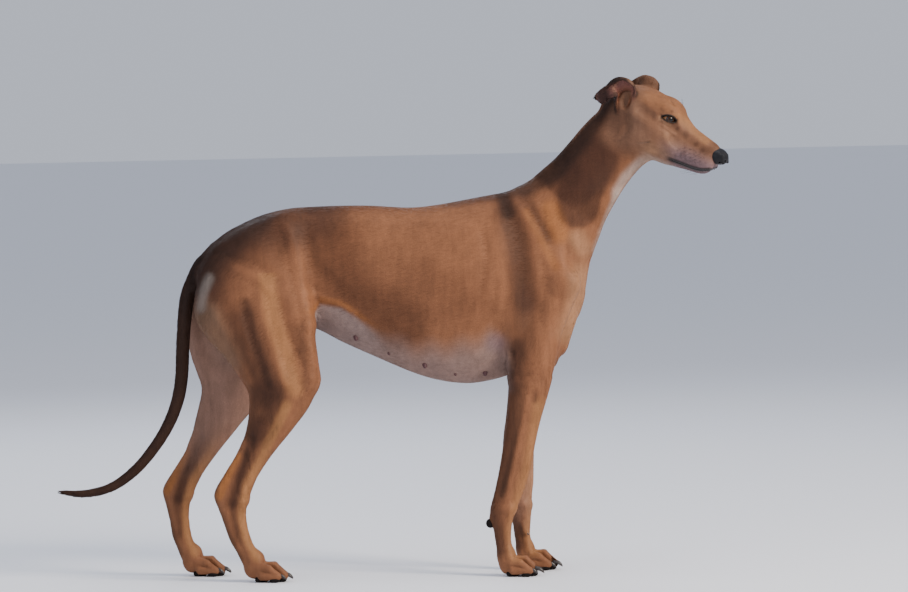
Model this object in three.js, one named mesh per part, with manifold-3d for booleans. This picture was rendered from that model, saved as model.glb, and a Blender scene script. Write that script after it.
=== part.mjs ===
// A greyhound bitch at life size, standing square with its head turned a little to its right.
// Millimetres: x points forward, y to the animal's left and z up, and the paws stand on z = 0.
// Every surface comes from one field of flesh: barrels with named profiles for the large forms and
// straps for muscles, bones and tendons, merged softly. Each node is the stretch of that field
// between two thin cuts, found by measuring outwards from rings inside it.
import * as THREE from "three";
import { mergeVertices } from "three/addons/utils/BufferGeometryUtils.js";
import Module from "manifold-3d";

const wasm = await Module();
wasm.setup();

// Driving dimensions
const GAP = 0.3; // between two nodes that meet
const HEAD_PITCH = -25.8; // degrees, nose down
const HEAD_YAW = -20; // degrees, nose towards the animal's right
const HEAD_ROLL = 4; // degrees, right ear down
const NECK_PITCH = 50; // degrees above level
const EYE_RADIUS = 12;
const LID_THICKNESS = 1.6;
const EAR_THICKNESS = 2.4;
const MOUTH_GAP = 1.1;
const RIGHT = -1;
const LEFT = 1;
const SIDES = [RIGHT, LEFT];

// Small mathematics
const radians = THREE.MathUtils.degToRad;
const clamp = THREE.MathUtils.clamp;
const vector = (list) => new THREE.Vector3(...list);

// The least of two distances, merged over a band k wide.
function merged(a, b, k) {
  const h = Math.max(k - Math.abs(a - b), 0) / k;
  return Math.min(a, b) - (h * h * k) / 4;
}

// Distance a less what b holds, rounded over a band k wide.
const carved = (a, b, k) => -merged(-a, b, k);

// A smooth curve through rows of [station, value, value ...]; each slope is that of the neighbours.
function curveThrough(rows) {
  const last = rows.length - 1;
  const slopes = rows.map((row, i) => {
    const before = rows[Math.max(i - 1, 0)];
    const after = rows[Math.min(i + 1, last)];
    return row.map((_, k) => (after[k] - before[k]) / (after[0] - before[0]));
  });
  return (station) => {
    const s = clamp(station, rows[0][0], rows[last][0]);
    let i = 0;
    while (i < last - 1 && s > rows[i + 1][0]) i += 1;
    const [a, b] = [rows[i], rows[i + 1]];
    const span = b[0] - a[0];
    const t = (s - a[0]) / span;
    const rise = t * t * (3 - 2 * t);
    const leave = t * (1 - t) * (1 - t) * span;
    const arrive = t * t * (t - 1) * span;
    return a.map((v, k) => v + (b[k] - v) * rise + slopes[i][k] * leave + slopes[i + 1][k] * arrive);
  };
}

// Forms of the field: each is a function of a point that is negative inside

// A frame with its own origin, whose axis, up and side are unit vectors.
function frameOf(origin, pitch) {
  const angle = radians(pitch);
  return {
    origin: vector(origin),
    axis: vector([Math.cos(angle), 0, Math.sin(angle)]),
    up: vector([-Math.sin(angle), 0, Math.cos(angle)]),
    side: vector([0, 1, 0]),
  };
}

// A large form. Rows hold station, low, high, middle, half width and lean: at that station along
// the axis it reaches from low to high along up and the half width to each side of the middle.
// Lean makes it wider towards high. Roundness 2 is an ellipse and more is squarer.
function barrel(frame, rows, roundness = 2, endRadius = 25) {
  const at = curveThrough(rows);
  const centre = (s) => (at(s)[1] + at(s)[2]) / 2;
  const d = new THREE.Vector3();
  return (p) => {
    d.subVectors(p, frame.origin);
    const [s, u, w] = [d.dot(frame.axis), d.dot(frame.up), d.dot(frame.side)];
    const [, low, high, middle, half, lean] = at(s);
    const past = s - clamp(s, rows[0][0], rows[rows.length - 1][0]);
    const height = (high - low) / 2;
    const du = u - (high + low) / 2;
    const dw = w - middle;
    const across = Math.abs(du / height);
    const beside = Math.abs(dw / (half * (1 + lean * clamp(du / height, -1, 1))));
    const flat = (across ** roundness + beside ** roundness) ** (1 / roundness);
    const share = Math.max(Math.hypot(flat, past / endRadius), 1e-4);
    const slope = centre(s + 1) - centre(s - 1);
    return (Math.hypot(du, dw, past) * (1 - 1 / share)) / Math.hypot(1, slope / 2);
  };
}

// A muscle, bone or tendon from one point to another, with half depths and half widths at its ends.
function strap(from, to, [deepA, wideA], [deepB, wideB]) {
  const start = vector(from);
  const run = vector(to).sub(start);
  const length = Math.max(run.length(), 1e-3);
  const along = run.clone().divideScalar(length);
  const wide = vector([0, 1, 0]).addScaledVector(along, -along.y).normalize();
  const deep = new THREE.Vector3().crossVectors(along, wide);
  const d = new THREE.Vector3();
  return (p) => {
    d.subVectors(p, start);
    const t = clamp(d.dot(along) / length, 0, 1);
    const past = d.dot(along) - t * length;
    const a = deepA + (deepB - deepA) * t;
    const b = wideA + (wideB - wideA) * t;
    const c = (a + b) / 2;
    const [n, w] = [d.dot(deep), d.dot(wide)];
    const share = Math.hypot(n / a, w / b, past / c);
    const pull = Math.max(Math.hypot(n / (a * a), w / (b * b), past / (c * c)), 1e-6);
    return (share * (share - 1)) / pull;
  };
}

// A rounded mass with half sizes along x, y and z, tipped nose up by a number of degrees.
function mass(at, [a, b, c], tip = 0) {
  const centre = vector(at);
  const [cos, sin] = [Math.cos(radians(tip)), Math.sin(radians(tip))];
  return (p) => {
    const [x, y, z] = [p.x - centre.x, p.y - centre.y, p.z - centre.z];
    const [u, v] = [x * cos + z * sin, z * cos - x * sin];
    const share = Math.hypot(u / a, y / b, v / c);
    const pull = Math.max(Math.hypot(u / (a * a), y / (b * b), v / (c * c)), 1e-6);
    return (share * (share - 1)) / pull;
  };
}

// Forms merged in turn: [form, softness], or [form, softness, "cut"] to hollow one out.
function flesh(forms) {
  return (p) =>
    forms.reduce((d, [form, softness, cut]) => {
      const other = form(p);
      if (other > softness && (cut || other > d + softness)) return d;
      return cut ? carved(d, other, softness) : merged(d, other, softness);
    }, 500);
}

// Both sides of the animal from one list of forms that is written for its left side
const mirrored = new THREE.Vector3();
const bothSides = (form) => (p) => form(mirrored.set(p.x, Math.abs(p.y), p.z));

// The trunk: deep chest, arched loin and sloping croup, seen as stations along x
const LEVEL = frameOf([0, 0, 0], 0);
const trunk = barrel(
  LEVEL,
  [
    [-344, 526, 585, 0, 30, 0],
    [-328, 508, 608, 0, 47, 0],
    [-300, 492, 632, 0, 60, 0],
    [-272, 482, 647, 0, 67, 0.05],
    [-245, 474, 659, 0, 71, 0.08],
    [-217, 465, 668, 0, 72, 0.1],
    [-180, 455, 675, 0, 69, 0.12],
    [-142, 449, 677, 0, 64, 0.14],
    [-88, 427, 678, 0, 64, 0.14],
    [-35, 404, 677, 0, 71, 0.14],
    [39, 371, 672, 0, 82, 0.14],
    [88, 356, 676, 0, 88, 0.15],
    [138, 348, 684, 0, 88, 0.16],
    [179, 353, 691, 0, 83, 0.16],
    [213, 362, 696, 0, 76, 0.15],
    [250, 375, 700, 0, 67, 0.1],
    [290, 396, 682, 0, 56, 0.05],
    [318, 424, 648, 0, 46, 0],
    [336, 466, 600, 0, 34, 0],
  ],
  2.15,
  15,
);

// The neck: long and oval, along its own axis, with the throat below and the nape above
const NECK = frameOf([300, 0, 640], NECK_PITCH);
const neck = barrel(NECK, [
  [-50, -100, 70, 0, 52, 0],
  [-20, -96, 86, 0, 58, -0.05],
  [20, -85, 84, 0, 54, -0.1],
  [56, -73, 78, 0, 48, -0.1],
  [91, -66, 72, 0, 45, -0.05],
  [132, -61, 70, 0, 43, 0],
  [170, -61, 69, 0, 43, 0],
  [205, -66, 64, 0, 42, -0.05],
  [228, -60, 52, 0, 36, -0.1],
]);

// The shoulder and breast, written for the left side
const shoulder = flesh([
  [strap([212, 24, 662], [314, 56, 532], [28, 15], [30, 17]), 20],
  [strap([205, 34, 640], [236, 58, 440], [34, 19], [30, 20]), 22],
  [strap([314, 54, 526], [256, 59, 392], [30, 19], [29, 19]), 18],
  [strap([232, 50, 560], [226, 62, 384], [40, 19], [17, 15]), 18],
  [strap([338, 8, 590], [330, 16, 505], [20, 22], [18, 22]), 20],
  [strap([326, 18, 510], [298, 30, 420], [20, 20], [22, 22]), 16],
]);

// The rump: hip bone, the thigh's upper muscles and the seat bone, written for the left side
const rumpMuscles = flesh([
  [strap([-186, 40, 648], [-240, 50, 610], [18, 18], [34, 24]), 20],
  [strap([-180, 48, 630], [-160, 66, 470], [15, 14], [18, 16]), 20],
  [strap([-250, 48, 590], [-215, 62, 460], [52, 26], [60, 28]), 24],
  [strap([-318, 34, 556], [-310, 50, 450], [26, 22], [34, 24]), 20],
]);

// The hind leg below the groin, seen as stations along z
const UPRIGHT = {
  origin: vector([0, 0, 0]),
  axis: vector([0, 0, 1]),
  up: vector([1, 0, 0]),
  side: vector([0, 1, 0]),
};
const hindBarrel = barrel(
  UPRIGHT,
  [
    [30, -278, -238, 67, 17, 0],
    [54, -289, -249, 66, 14.5, 0],
    [76, -301, -260, 66, 13, 0],
    [109, -312, -268, 66, 12.5, 0],
    [135, -321, -268, 66, 14, 0],
    [155, -328, -262, 66, 15, 0],
    [168, -326, -257, 66, 14.5, 0],
    [192, -311, -246, 67, 14, 0.2],
    [231, -286, -219, 69, 17, 0.15],
    [274, -268, -183, 71, 22, 0.05],
    [314, -260, -152, 71, 26, 0],
    [345, -262, -138, 70, 29, -0.1],
    [374, -278, -135, 68, 32, -0.1],
    [404, -300, -136, 65, 34, -0.05],
    [441, -331, -141, 60, 37, 0],
    [474, -352, -143, 57, 40, 0],
    [510, -356, -148, 53, 41, 0],
    [550, -344, -168, 49, 38, 0],
    [600, -318, -200, 42, 28, 0],
  ],
  2.3,
);
const hindDetails = [
  [strap([-152, 78, 460], [-150, 80, 372], [14, 18], [18, 20]), 14],
  [strap([-300, 72, 470], [-196, 82, 362], [34, 22], [26, 20]), 18],
  [strap([-240, 72, 352], [-256, 71, 290], [19, 20], [12, 12]), 12],
  [mass([-152, 72, 366], [20, 22, 26], 10), 14],
  [strap([-262, 87, 262], [-298, 82, 196], [9, 6], [8, 5]), 9, "cut"],
  [strap([-262, 55, 262], [-298, 51, 196], [9, 6], [8, 5]), 9, "cut"],
  [mass([-276, 66, 150], [13, 15.5, 12]), 8],
];

// The foreleg below the elbow, seen as stations along z
const foreBarrel = barrel(
  UPRIGHT,
  [
    [28, 184, 216, 56, 16, 0],
    [45, 182, 213, 56, 14.5, 0],
    [66, 179, 210, 55, 13.5, 0],
    [88, 176, 211, 55, 14.5, 0],
    [104, 172, 214, 55, 16, 0],
    [122, 171, 220, 55, 16.5, 0],
    [138, 175, 227, 55, 15.5, 0],
    [160, 181, 237, 56, 14.5, 0.1],
    [200, 190, 249, 57, 16, 0.15],
    [240, 197, 257, 59, 18.5, 0.15],
    [281, 204, 267, 61, 21, 0.1],
    [326, 209, 281, 63, 22.5, 0],
    [357, 211, 290, 64, 23, 0],
    [390, 214, 298, 64, 22, 0],
    [430, 224, 300, 62, 18, 0],
  ],
  2.2,
);
const foreDetails = [
  [strap([214, 66, 388], [213, 66, 352], [11, 15], [10, 14]), 12],
  [strap([238, 80, 330], [206, 72, 168], [4, 5], [3, 4]), 8, "cut"],
  [mass([170, 55, 98], [8.5, 8, 8]), 5],
  [mass([204, 55, 124], [17, 18, 13]), 8],
  [strap([199, 39, 84], [207, 37, 66], [6, 5], [5, 4.5]), 4],
];

// A paw: four arched toes over their pads, laid out from the point where the long bones end
const TOES = [
  { offset: -18, knuckle: 20, high: 25, tip: 42 },
  { offset: -6.3, knuckle: 28, high: 29, tip: 54 },
  { offset: 6.3, knuckle: 28, high: 29, tip: 54 },
  { offset: 18, knuckle: 20, high: 25, tip: 42 },
];
const TOE_SPREAD = 1.1; // how much wider the toes stand at their tips
function pawForms([x, y], lift) {
  const forms = [
    [mass([x + 10, y, 6.5], [17, 18, 9.5]), 5],
    [strap([x - 2, y, lift + 8], [x + 8, y, 22], [17, 17], [17, 20]), 8],
  ];
  TOES.forEach(({ offset, knuckle, high, tip }) => {
    const bend = [x + knuckle, y + offset, high];
    const end = [x + tip, y + offset * TOE_SPREAD, 12];
    forms.push([strap([x + 6, y + offset * 0.75, 29], bend, [10.5, 8.5], [10, 8]), 4.5]);
    forms.push([strap(bend, end, [10, 8], [8.5, 7]), 3.5]);
    forms.push([strap([x + 10, y + offset * 0.8, 11], [end[0] - 6, end[1], 8], [12, 8.5], [9, 7.5]), 3]);
  });
  return forms;
}
const HIND_PAW = [-252, 67];
const FORE_PAW = [203, 56];
const hindPaw = flesh(pawForms(HIND_PAW, 34));
const forePaw = flesh(pawForms(FORE_PAW, 30));

// Where each leg stands. The forms above are written for the right legs, on the left side of y = 0;
// the left legs are drawn back or forward from them by a shift, and slimmed a little in profile,
// by a factor, which depend on the height.
const HIND_SHIFT = curveThrough([
  [0, -118, 1],
  [48, -118, 1.06],
  [100, -110, 1.15],
  [161, -104, 1.12],
  [230, -101, 1.03],
  [301, -100, 1],
  [391, -76, 1],
  [441, -46, 1],
  [480, -22, 1],
  [530, 0, 1],
]);
const FORE_SHIFT = curveThrough([
  [0, 36, 1],
  [60, 36, 1],
  [104, 35, 1],
  [143, 22, 1],
  [207, 5, 1],
  [255, 0, 1],
]);
const HIND_MIDDLE = curveThrough([
  [47, -262, 66],
  [76, -281, 66],
  [130, -293, 66],
  [161, -292, 66],
  [192, -277, 67],
  [231, -250, 69],
  [274, -224, 71],
  [326, -202, 71],
  [374, -205, 68],
  [441, -235, 60],
  [520, -250, 55],
]);
const FORE_MIDDLE = curveThrough([
  [47, 197, 56],
  [66, 195, 55],
  [104, 193, 55],
  [143, 202, 55],
  [200, 220, 57],
  [281, 236, 61],
  [357, 250, 64],
  [420, 262, 64],
]);
const standing = new THREE.Vector3();
function inLegFrame(p, side, shift, middle) {
  if (side === RIGHT) return standing.set(p.x, -p.y, p.z);
  const [, moved, slimness] = shift(p.z);
  const x = middle(p.z)[1];
  return standing.set(x + (p.x - moved - x) * slimness, p.y, p.z);
}
const PAW_TOP = 75;
const hindForms = flesh([[hindBarrel, 1], ...hindDetails]);
const foreForms = flesh([[foreBarrel, 1], ...foreDetails]);
function legField(forms, paw, shift, middle, side) {
  return (p) => {
    const q = inLegFrame(p, side, shift, middle);
    const leg = forms(q);
    return q.z < PAW_TOP ? merged(leg, paw(q), 9) : leg;
  };
}
const legFields = SIDES.map((side) => ({
  hind: legField(hindForms, hindPaw, HIND_SHIFT, HIND_MIDDLE, side),
  fore: legField(foreForms, forePaw, FORE_SHIFT, FORE_MIDDLE, side),
}));

// The tail: hangs from the croup, then curves back and levels out
const TAIL_POINTS = [
  [-318, 594],
  [-341, 573],
  [-358, 547],
  [-372, 510],
  [-380, 440],
  [-384, 375],
  [-392, 331],
  [-409, 288],
  [-436, 245],
  [-473, 203],
  [-517, 173],
  [-566, 162],
  [-617, 166],
];
const tailCurve = new THREE.CatmullRomCurve3(TAIL_POINTS.map(([x, z]) => new THREE.Vector3(x, 0, z)));
const TAIL_RADIUS = curveThrough([
  [0, 17],
  [0.06, 16],
  [0.12, 14.5],
  [0.25, 13],
  [0.5, 12],
  [0.75, 10],
  [0.92, 7.5],
  [0.985, 4.5],
  [1, 2],
]);
const DOCK_SHARE = 0.1; // the tail's first tenth is bedded in the rump
const dock = strap([-318, 0, 596], [-347, 0, 564], [16, 20], [14, 15]);

// The head in its own frame: x from the nape to the nose, y to its left and z up
const HEAD_ORIGIN = vector([410, 0, 861]);
const headTurn = new THREE.Matrix4().makeRotationFromEuler(
  new THREE.Euler(radians(HEAD_ROLL), -radians(HEAD_PITCH), radians(HEAD_YAW), "ZYX"),
);
const headPlace = headTurn.clone().setPosition(HEAD_ORIGIN);
const headBack = headPlace.clone().invert();
const skull = barrel(
  LEVEL,
  [
    [-8, -24, 4, 0, 18, 0],
    [8, -46, 24, 0, 33, 0.1],
    [26, -58, 41, 0, 40, 0.12],
    [47, -63, 46, 0, 43.5, 0.1],
    [74, -66, 48.6, 0, 44, 0.05],
    [96, -68, 49.3, 0, 43, 0],
    [114, -69, 46, 0, 40.5, -0.02],
    [132, -68, 38.6, 0, 36, -0.05],
    [148, -66, 28.2, 0, 31.5, -0.1],
    [164, -63.5, 20, 0, 28, -0.14],
    [182, -58, 15.5, 0, 25.5, -0.16],
    [206, -50.5, 10.9, 0, 22.5, -0.16],
    [216, -46, 8.5, 0, 20, -0.15],
    [223, -39, 5, 0, 17, -0.1],
    [228, -32, 1, 0, 13.5, 0],
    [231, -24, -4, 0, 9, 0],
  ],
  2.2,
  6,
);
const headForms = flesh([
  [skull, 1],
  [strap([62, 38, 0], [126, 33, -12], [9, 9], [8, 7]), 12],
  [mass([112, 20, 33], [22, 12, 12], -18), 12],
  [mass([62, 24, 22], [38, 18, 22]), 14],
  [mass([84, 31, -36], [34, 12, 25], 10), 14],
  [mass([198, 15, -34], [31, 8.5, 14], 3), 10],
  [mass([133, 37, 11], [15, 8, 10], -12), 9, "cut"],
  [strap([150, 36, -14], [190, 32, -16], [8, 4], [6, 4]), 10, "cut"],
  [mass([35, 45, 17], [10, 13, 16], 20), 4, "cut"],
]);
const headLocal = new THREE.Vector3();
const head = (p) => {
  headLocal.copy(p).applyMatrix4(headBack);
  headLocal.y = Math.abs(headLocal.y);
  return headForms(headLocal);
};

// The whole body
const shoulders = bothSides(shoulder);
const rumpBoth = bothSides(rumpMuscles);
function body(p) {
  let d = trunk(p);
  if (p.x > 120) d = merged(d, neck(p), 26);
  if (p.z > 660 && p.x > 330) d = merged(d, head(p), 16);
  if (p.x > 120 && p.x < 400) d = merged(d, shoulders(p), 20);
  if (p.x < -100) {
    d = merged(d, rumpBoth(p), 22);
    d = merged(d, dock(p), 14);
  }
  const legs = p.y < 0 ? legFields[0] : legFields[1];
  if (p.x < -60 && p.z < 620) d = merged(d, legs.hind(p), p.z > 420 ? 22 : 10);
  if (p.x > 130 && p.x < 330 && p.z < 450) d = merged(d, legs.fore(p), 14);
  return d;
}

// Measuring a solid from its field

const STEP = 3;
const HALVINGS = 11;
const probe = new THREE.Vector3();

// The distance from a point inside to the surface, along a direction, or the limit.
function reach(field, from, direction, limit) {
  let inside = 0;
  let outside = STEP;
  while (field(probe.copy(from).addScaledVector(direction, outside)) < 0) {
    inside = outside;
    outside += STEP;
    if (outside >= limit) return limit;
  }
  for (let i = 0; i < HALVINGS; i += 1) {
    const middle = (inside + outside) / 2;
    if (field(probe.copy(from).addScaledVector(direction, middle)) < 0) inside = middle;
    else outside = middle;
  }
  return inside;
}

// A manifold solid from points and triangles, turned the right way out.
function solidFrom(points, triangles) {
  let volume = 0;
  for (let i = 0; i < triangles.length; i += 3) {
    const [a, b, c] = [points[triangles[i]], points[triangles[i + 1]], points[triangles[i + 2]]];
    volume += a.dot(new THREE.Vector3().crossVectors(b, c));
  }
  const order = volume > 0 ? triangles : triangles.slice().reverse();
  return new wasm.Manifold(
    new wasm.Mesh({
      numProp: 3,
      vertProperties: new Float32Array(points.flatMap((v) => [v.x, v.y, v.z])),
      triVerts: new Uint32Array(order),
    }),
  );
}

// A manifold solid from loops of points, each as long as the others, closed by a fan at each end.
function solidFromLoops(loops) {
  const count = loops[0].length;
  const points = loops.flat();
  const triangles = [];
  for (let i = 0; i + 1 < loops.length; i += 1) {
    for (let j = 0; j < count; j += 1) {
      const a = i * count + j;
      const b = i * count + ((j + 1) % count);
      triangles.push(a, b, b + count, a, b + count, a + count);
    }
  }
  [0, loops.length - 1].forEach((i) => {
    const hub = points.length;
    const middle = loops[i].reduce((sum, v) => sum.add(v), new THREE.Vector3());
    points.push(middle.divideScalar(count));
    for (let j = 0; j < count; j += 1) {
      const pair = [i * count + j, i * count + ((j + 1) % count)];
      triangles.push(...(i === 0 ? [pair[1], pair[0]] : pair), hub);
    }
  });
  return solidFrom(points, triangles);
}

// A closed three.js geometry as a manifold solid.
function solidOf(geometry) {
  const bare = geometry.clone();
  bare.deleteAttribute("normal");
  bare.deleteAttribute("uv");
  const joined = mergeVertices(bare, 1e-3);
  return new wasm.Manifold(
    new wasm.Mesh({
      numProp: 3,
      vertProperties: joined.attributes.position.array,
      triVerts: new Uint32Array(joined.index.array),
    }),
  );
}

// Loops round a row of rings. A ring has a middle, an up and a side, and a stretch that crowds
// its points towards its narrow ends. A cone, from 0 to 90 degrees, opens it towards its axis.
function measuredLoops(field, rings, count, limit = 260) {
  return rings.map(({ middle, up, side, stretch = 1, cone = 90, axis }) => {
    const round = Math.sin(radians(cone));
    const loop = [];
    for (let j = 0; j < count; j += 1) {
      const angle = (2 * Math.PI * (j + 0.5)) / count;
      const direction = up.clone().multiplyScalar(Math.cos(angle) * stretch);
      direction.addScaledVector(side, Math.sin(angle)).normalize();
      if (axis) direction.multiplyScalar(round).addScaledVector(axis, Math.cos(radians(cone)));
      const r = reach(field, middle, direction, limit);
      loop.push(middle.clone().addScaledVector(direction, r));
    }
    return loop;
  });
}

// Even stations from one value to another, no further apart than the pitch.
function stations(from, to, pitch) {
  const count = Math.ceil(Math.abs(to - from) / pitch);
  return Array.from({ length: count + 1 }, (_, i) => from + ((to - from) * i) / count);
}

// A field that ends a little beyond its planes, so that a ray along the flesh stops there.
const OVERRUN = 20;
function shortOf(field, planes) {
  return (p) =>
    planes.reduce((d, { point, normal }) => {
      const beyond = (p.x - point.x) * normal.x + (p.y - point.y) * normal.y + (p.z - point.z) * normal.z;
      return Math.max(d, beyond - OVERRUN);
    }, field(p));
}

// A solid less all that lies beyond a plane, which it stops half a gap short of.
const HUGE = 3000;
function cutAt(solid, { point, normal }) {
  const box = new THREE.BoxGeometry(HUGE, HUGE, HUGE);
  box.translate(0, 0, HUGE / 2 - GAP / 2);
  const turn = new THREE.Quaternion().setFromUnitVectors(vector([0, 0, 1]), normal);
  box.applyMatrix4(new THREE.Matrix4().compose(point, turn, vector([1, 1, 1])));
  return solid.subtract(solidOf(box));
}
const opposite = ({ point, normal }) => ({ point, normal: normal.clone().negate() });

// The cuts between nodes
const cut = (point, normal) => ({ point: vector(point), normal: vector(normal).normalize() });
const CHEST_BACK = 20; // x where the chest meets the loin
const RUMP_FRONT = -120; // x where the loin meets the rump
const THIGH_TILT = 16.4; // degrees that the cut over the thigh falls towards the front
const ELBOW_TILT = -22.6; // degrees, likewise over the foreleg
const tiltedCut = (point, tilt) => cut(point, [-Math.sin(radians(tilt)), 0, -Math.cos(radians(tilt))]);
const THIGH_CUT = tiltedCut([-120, 0, 430], THIGH_TILT);
const ELBOW_CUT = tiltedCut([200, 0, 350], ELBOW_TILT);
const neckPoint = (s) => NECK.origin.clone().addScaledVector(NECK.axis, s);
const NECK_BASE = 40;
const NECK_TOP = 192;
const NECK_CUT = { point: neckPoint(NECK_BASE), normal: NECK.axis.clone() };
const HEAD_CUT = { point: neckPoint(NECK_TOP), normal: NECK.axis.clone() };
const SHANK_TOP = 326;
const HOCK_TOP = 196;
const CARPUS_TOP = 152;
const PAW_CUT = 47;

// Finished nodes
const group = new THREE.Group();
const FINISHES = {
  fawn: { color: 0xb5733f, roughness: 0.75 },
  dark: { color: 0x35231c, roughness: 0.7 },
  ear: { color: 0x6d4435, roughness: 0.75 },
  nose: { color: 0x16151a, roughness: 0.4 },
  eye: { color: 0x2a1a10, roughness: 0.1 },
};
function addNode(name, solid, finish) {
  const [largest] = solid.decompose().sort((a, b) => b.volume() - a.volume());
  const made = largest.getMesh();
  const geometry = new THREE.BufferGeometry();
  geometry.setAttribute("position", new THREE.BufferAttribute(made.vertProperties, 3));
  geometry.setIndex(new THREE.BufferAttribute(made.triVerts, 1));
  geometry.computeVertexNormals();
  const mesh = new THREE.Mesh(geometry, new THREE.MeshStandardMaterial(FINISHES[finish]));
  mesh.name = name;
  group.add(mesh);
}
const sideName = (side) => (side === LEFT ? "left" : "right");

// The trunk's rings stand upright; where it ends, cones close it over from one last middle.
const X = vector([1, 0, 0]);
const Y = vector([0, 1, 0]);
const Z = vector([0, 0, 1]);
const BACKWARDS = vector([-1, 0, 0]);
const CONES = [79, 68, 57, 46, 36, 27, 20, 14, 7];
const TRUNK_MIDDLE = curveThrough([
  [-235, 570],
  [-120, 565],
  [20, 530],
  [150, 520],
  [215, 535],
]);
const trunkRing = (x) => ({ middle: vector([x, 0, TRUNK_MIDDLE(x)[1]]), up: Z, side: Y, stretch: 1.5 });
const trunkCone = (x, axis) => (cone) => ({ ...trunkRing(x), stretch: 1.15, cone, axis });

// Chest, from the middle of the ribs to the breast, with the upper arms
const CHEST_SIDES = 30;
const CHEST_LAST = 215;
const chestRings = [
  ...stations(CHEST_BACK + GAP / 2, CHEST_LAST, 20).map(trunkRing),
  ...CONES.map(trunkCone(CHEST_LAST, X)),
];
const chestField = shortOf(body, [NECK_CUT, ELBOW_CUT]);
const chest = solidFromLoops(measuredLoops(chestField, chestRings, CHEST_SIDES));
addNode("chest", cutAt(cutAt(chest, NECK_CUT), ELBOW_CUT), "fawn");

// Loin and belly
const LOIN_SIDES = 26;
const loinRings = stations(RUMP_FRONT + GAP / 2, CHEST_BACK - GAP / 2, 20).map(trunkRing);
addNode("loin", solidFromLoops(measuredLoops(body, loinRings, LOIN_SIDES)), "fawn");

// The tail's rings lie square to its curve.
const TAIL_SIDES = 10;
const TAIL_JOINS = [0.38, 0.7];
const TAIL_LENGTH = tailCurve.getLength();
const tailGap = GAP / 2 / TAIL_LENGTH;
function tailSolid(from, to, pitch, extra = 0) {
  const loops = stations(from, to, pitch / TAIL_LENGTH).map((share) => {
    const middle = tailCurve.getPointAt(share);
    const up = new THREE.Vector3().crossVectors(tailCurve.getTangentAt(share), Y).normalize();
    const radius = TAIL_RADIUS(share)[1] + extra;
    return Array.from({ length: TAIL_SIDES }, (_, j) => {
      const angle = (2 * Math.PI * j) / TAIL_SIDES;
      const out = up.clone().multiplyScalar(Math.cos(angle)).addScaledVector(Y, Math.sin(angle));
      return middle.clone().addScaledVector(out, radius);
    });
  });
  return solidFromLoops(loops);
}
addNode("tail_base", tailSolid(DOCK_SHARE, TAIL_JOINS[0] - tailGap, 18), "dark");
addNode("tail_middle", tailSolid(TAIL_JOINS[0] + tailGap, TAIL_JOINS[1] - tailGap, 18), "dark");
addNode("tail_tip", tailSolid(TAIL_JOINS[1] + tailGap, 1, 14), "dark");

// Rump, from the loin to the seat, with a socket for the tail
const RUMP_SIDES = 28;
const RUMP_LAST = -235;
const rumpRings = [
  ...stations(RUMP_FRONT - GAP / 2, RUMP_LAST, 18).map(trunkRing),
  ...CONES.map(trunkCone(RUMP_LAST, BACKWARDS)),
];
const rumpField = shortOf(body, [THIGH_CUT]);
const rump = solidFromLoops(measuredLoops(rumpField, rumpRings, RUMP_SIDES));
const tailSocket = tailSolid(DOCK_SHARE - 2 * tailGap, TAIL_JOINS[0], 18, GAP);
addNode("rump", cutAt(rump, THIGH_CUT).subtract(tailSocket), "fawn");

// Neck, square to its own axis
const NECK_SIDES = 24;
const neckRing = (s) => ({ middle: neckPoint(s), up: NECK.up, side: Y, stretch: 1.25 });
const neckRings = stations(NECK_BASE + GAP / 2, NECK_TOP - GAP / 2, 22).map(neckRing);
addNode("neck", solidFromLoops(measuredLoops(body, neckRings, NECK_SIDES)), "fawn");

// Legs, on rings that follow each leg's middle and lean over into the cut at its top
const LEG_REACH = 160;
const OVER_CUT = 4; // how far a leg's last ring lies past its cut
const upright = { tilt: 0, stretch: 1.6 };
function legRing(leg, side, z, { tilt, stretch }) {
  const [, x, y] = leg.middle(z);
  const moved = side === LEFT ? leg.shift(z)[1] : 0;
  const up = vector([Math.cos(radians(tilt)), 0, -Math.sin(radians(tilt))]);
  return { middle: vector([x + moved, y * side, z]), up, side: Y, stretch };
}
function legNode(name, leg, side, levels, count) {
  const rings = levels.map((z) => legRing(leg, side, z, upright));
  addNode(name, solidFromLoops(measuredLoops(body, rings, count, LEG_REACH)), "fawn");
}
function legTopNode(name, leg, side, from, plane, tilt, pitch, count) {
  let top = from;
  for (let i = 0; i < 20; i += 1) {
    const moved = side === LEFT ? leg.shift(top)[1] : 0;
    const x = leg.middle(top)[1] + moved;
    top = plane.point.z - ((x - plane.point.x) * plane.normal.x) / plane.normal.z + OVER_CUT;
  }
  const rings = stations(from, top, pitch).map((z) => {
    const share = (z - from) / (top - from);
    return legRing(leg, side, z, { tilt: tilt * share ** 1.5, stretch: 1.6 });
  });
  const field = shortOf(body, [opposite(plane)]);
  addNode(name, cutAt(solidFromLoops(measuredLoops(field, rings, count, LEG_REACH)), opposite(plane)), "fawn");
}

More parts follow.
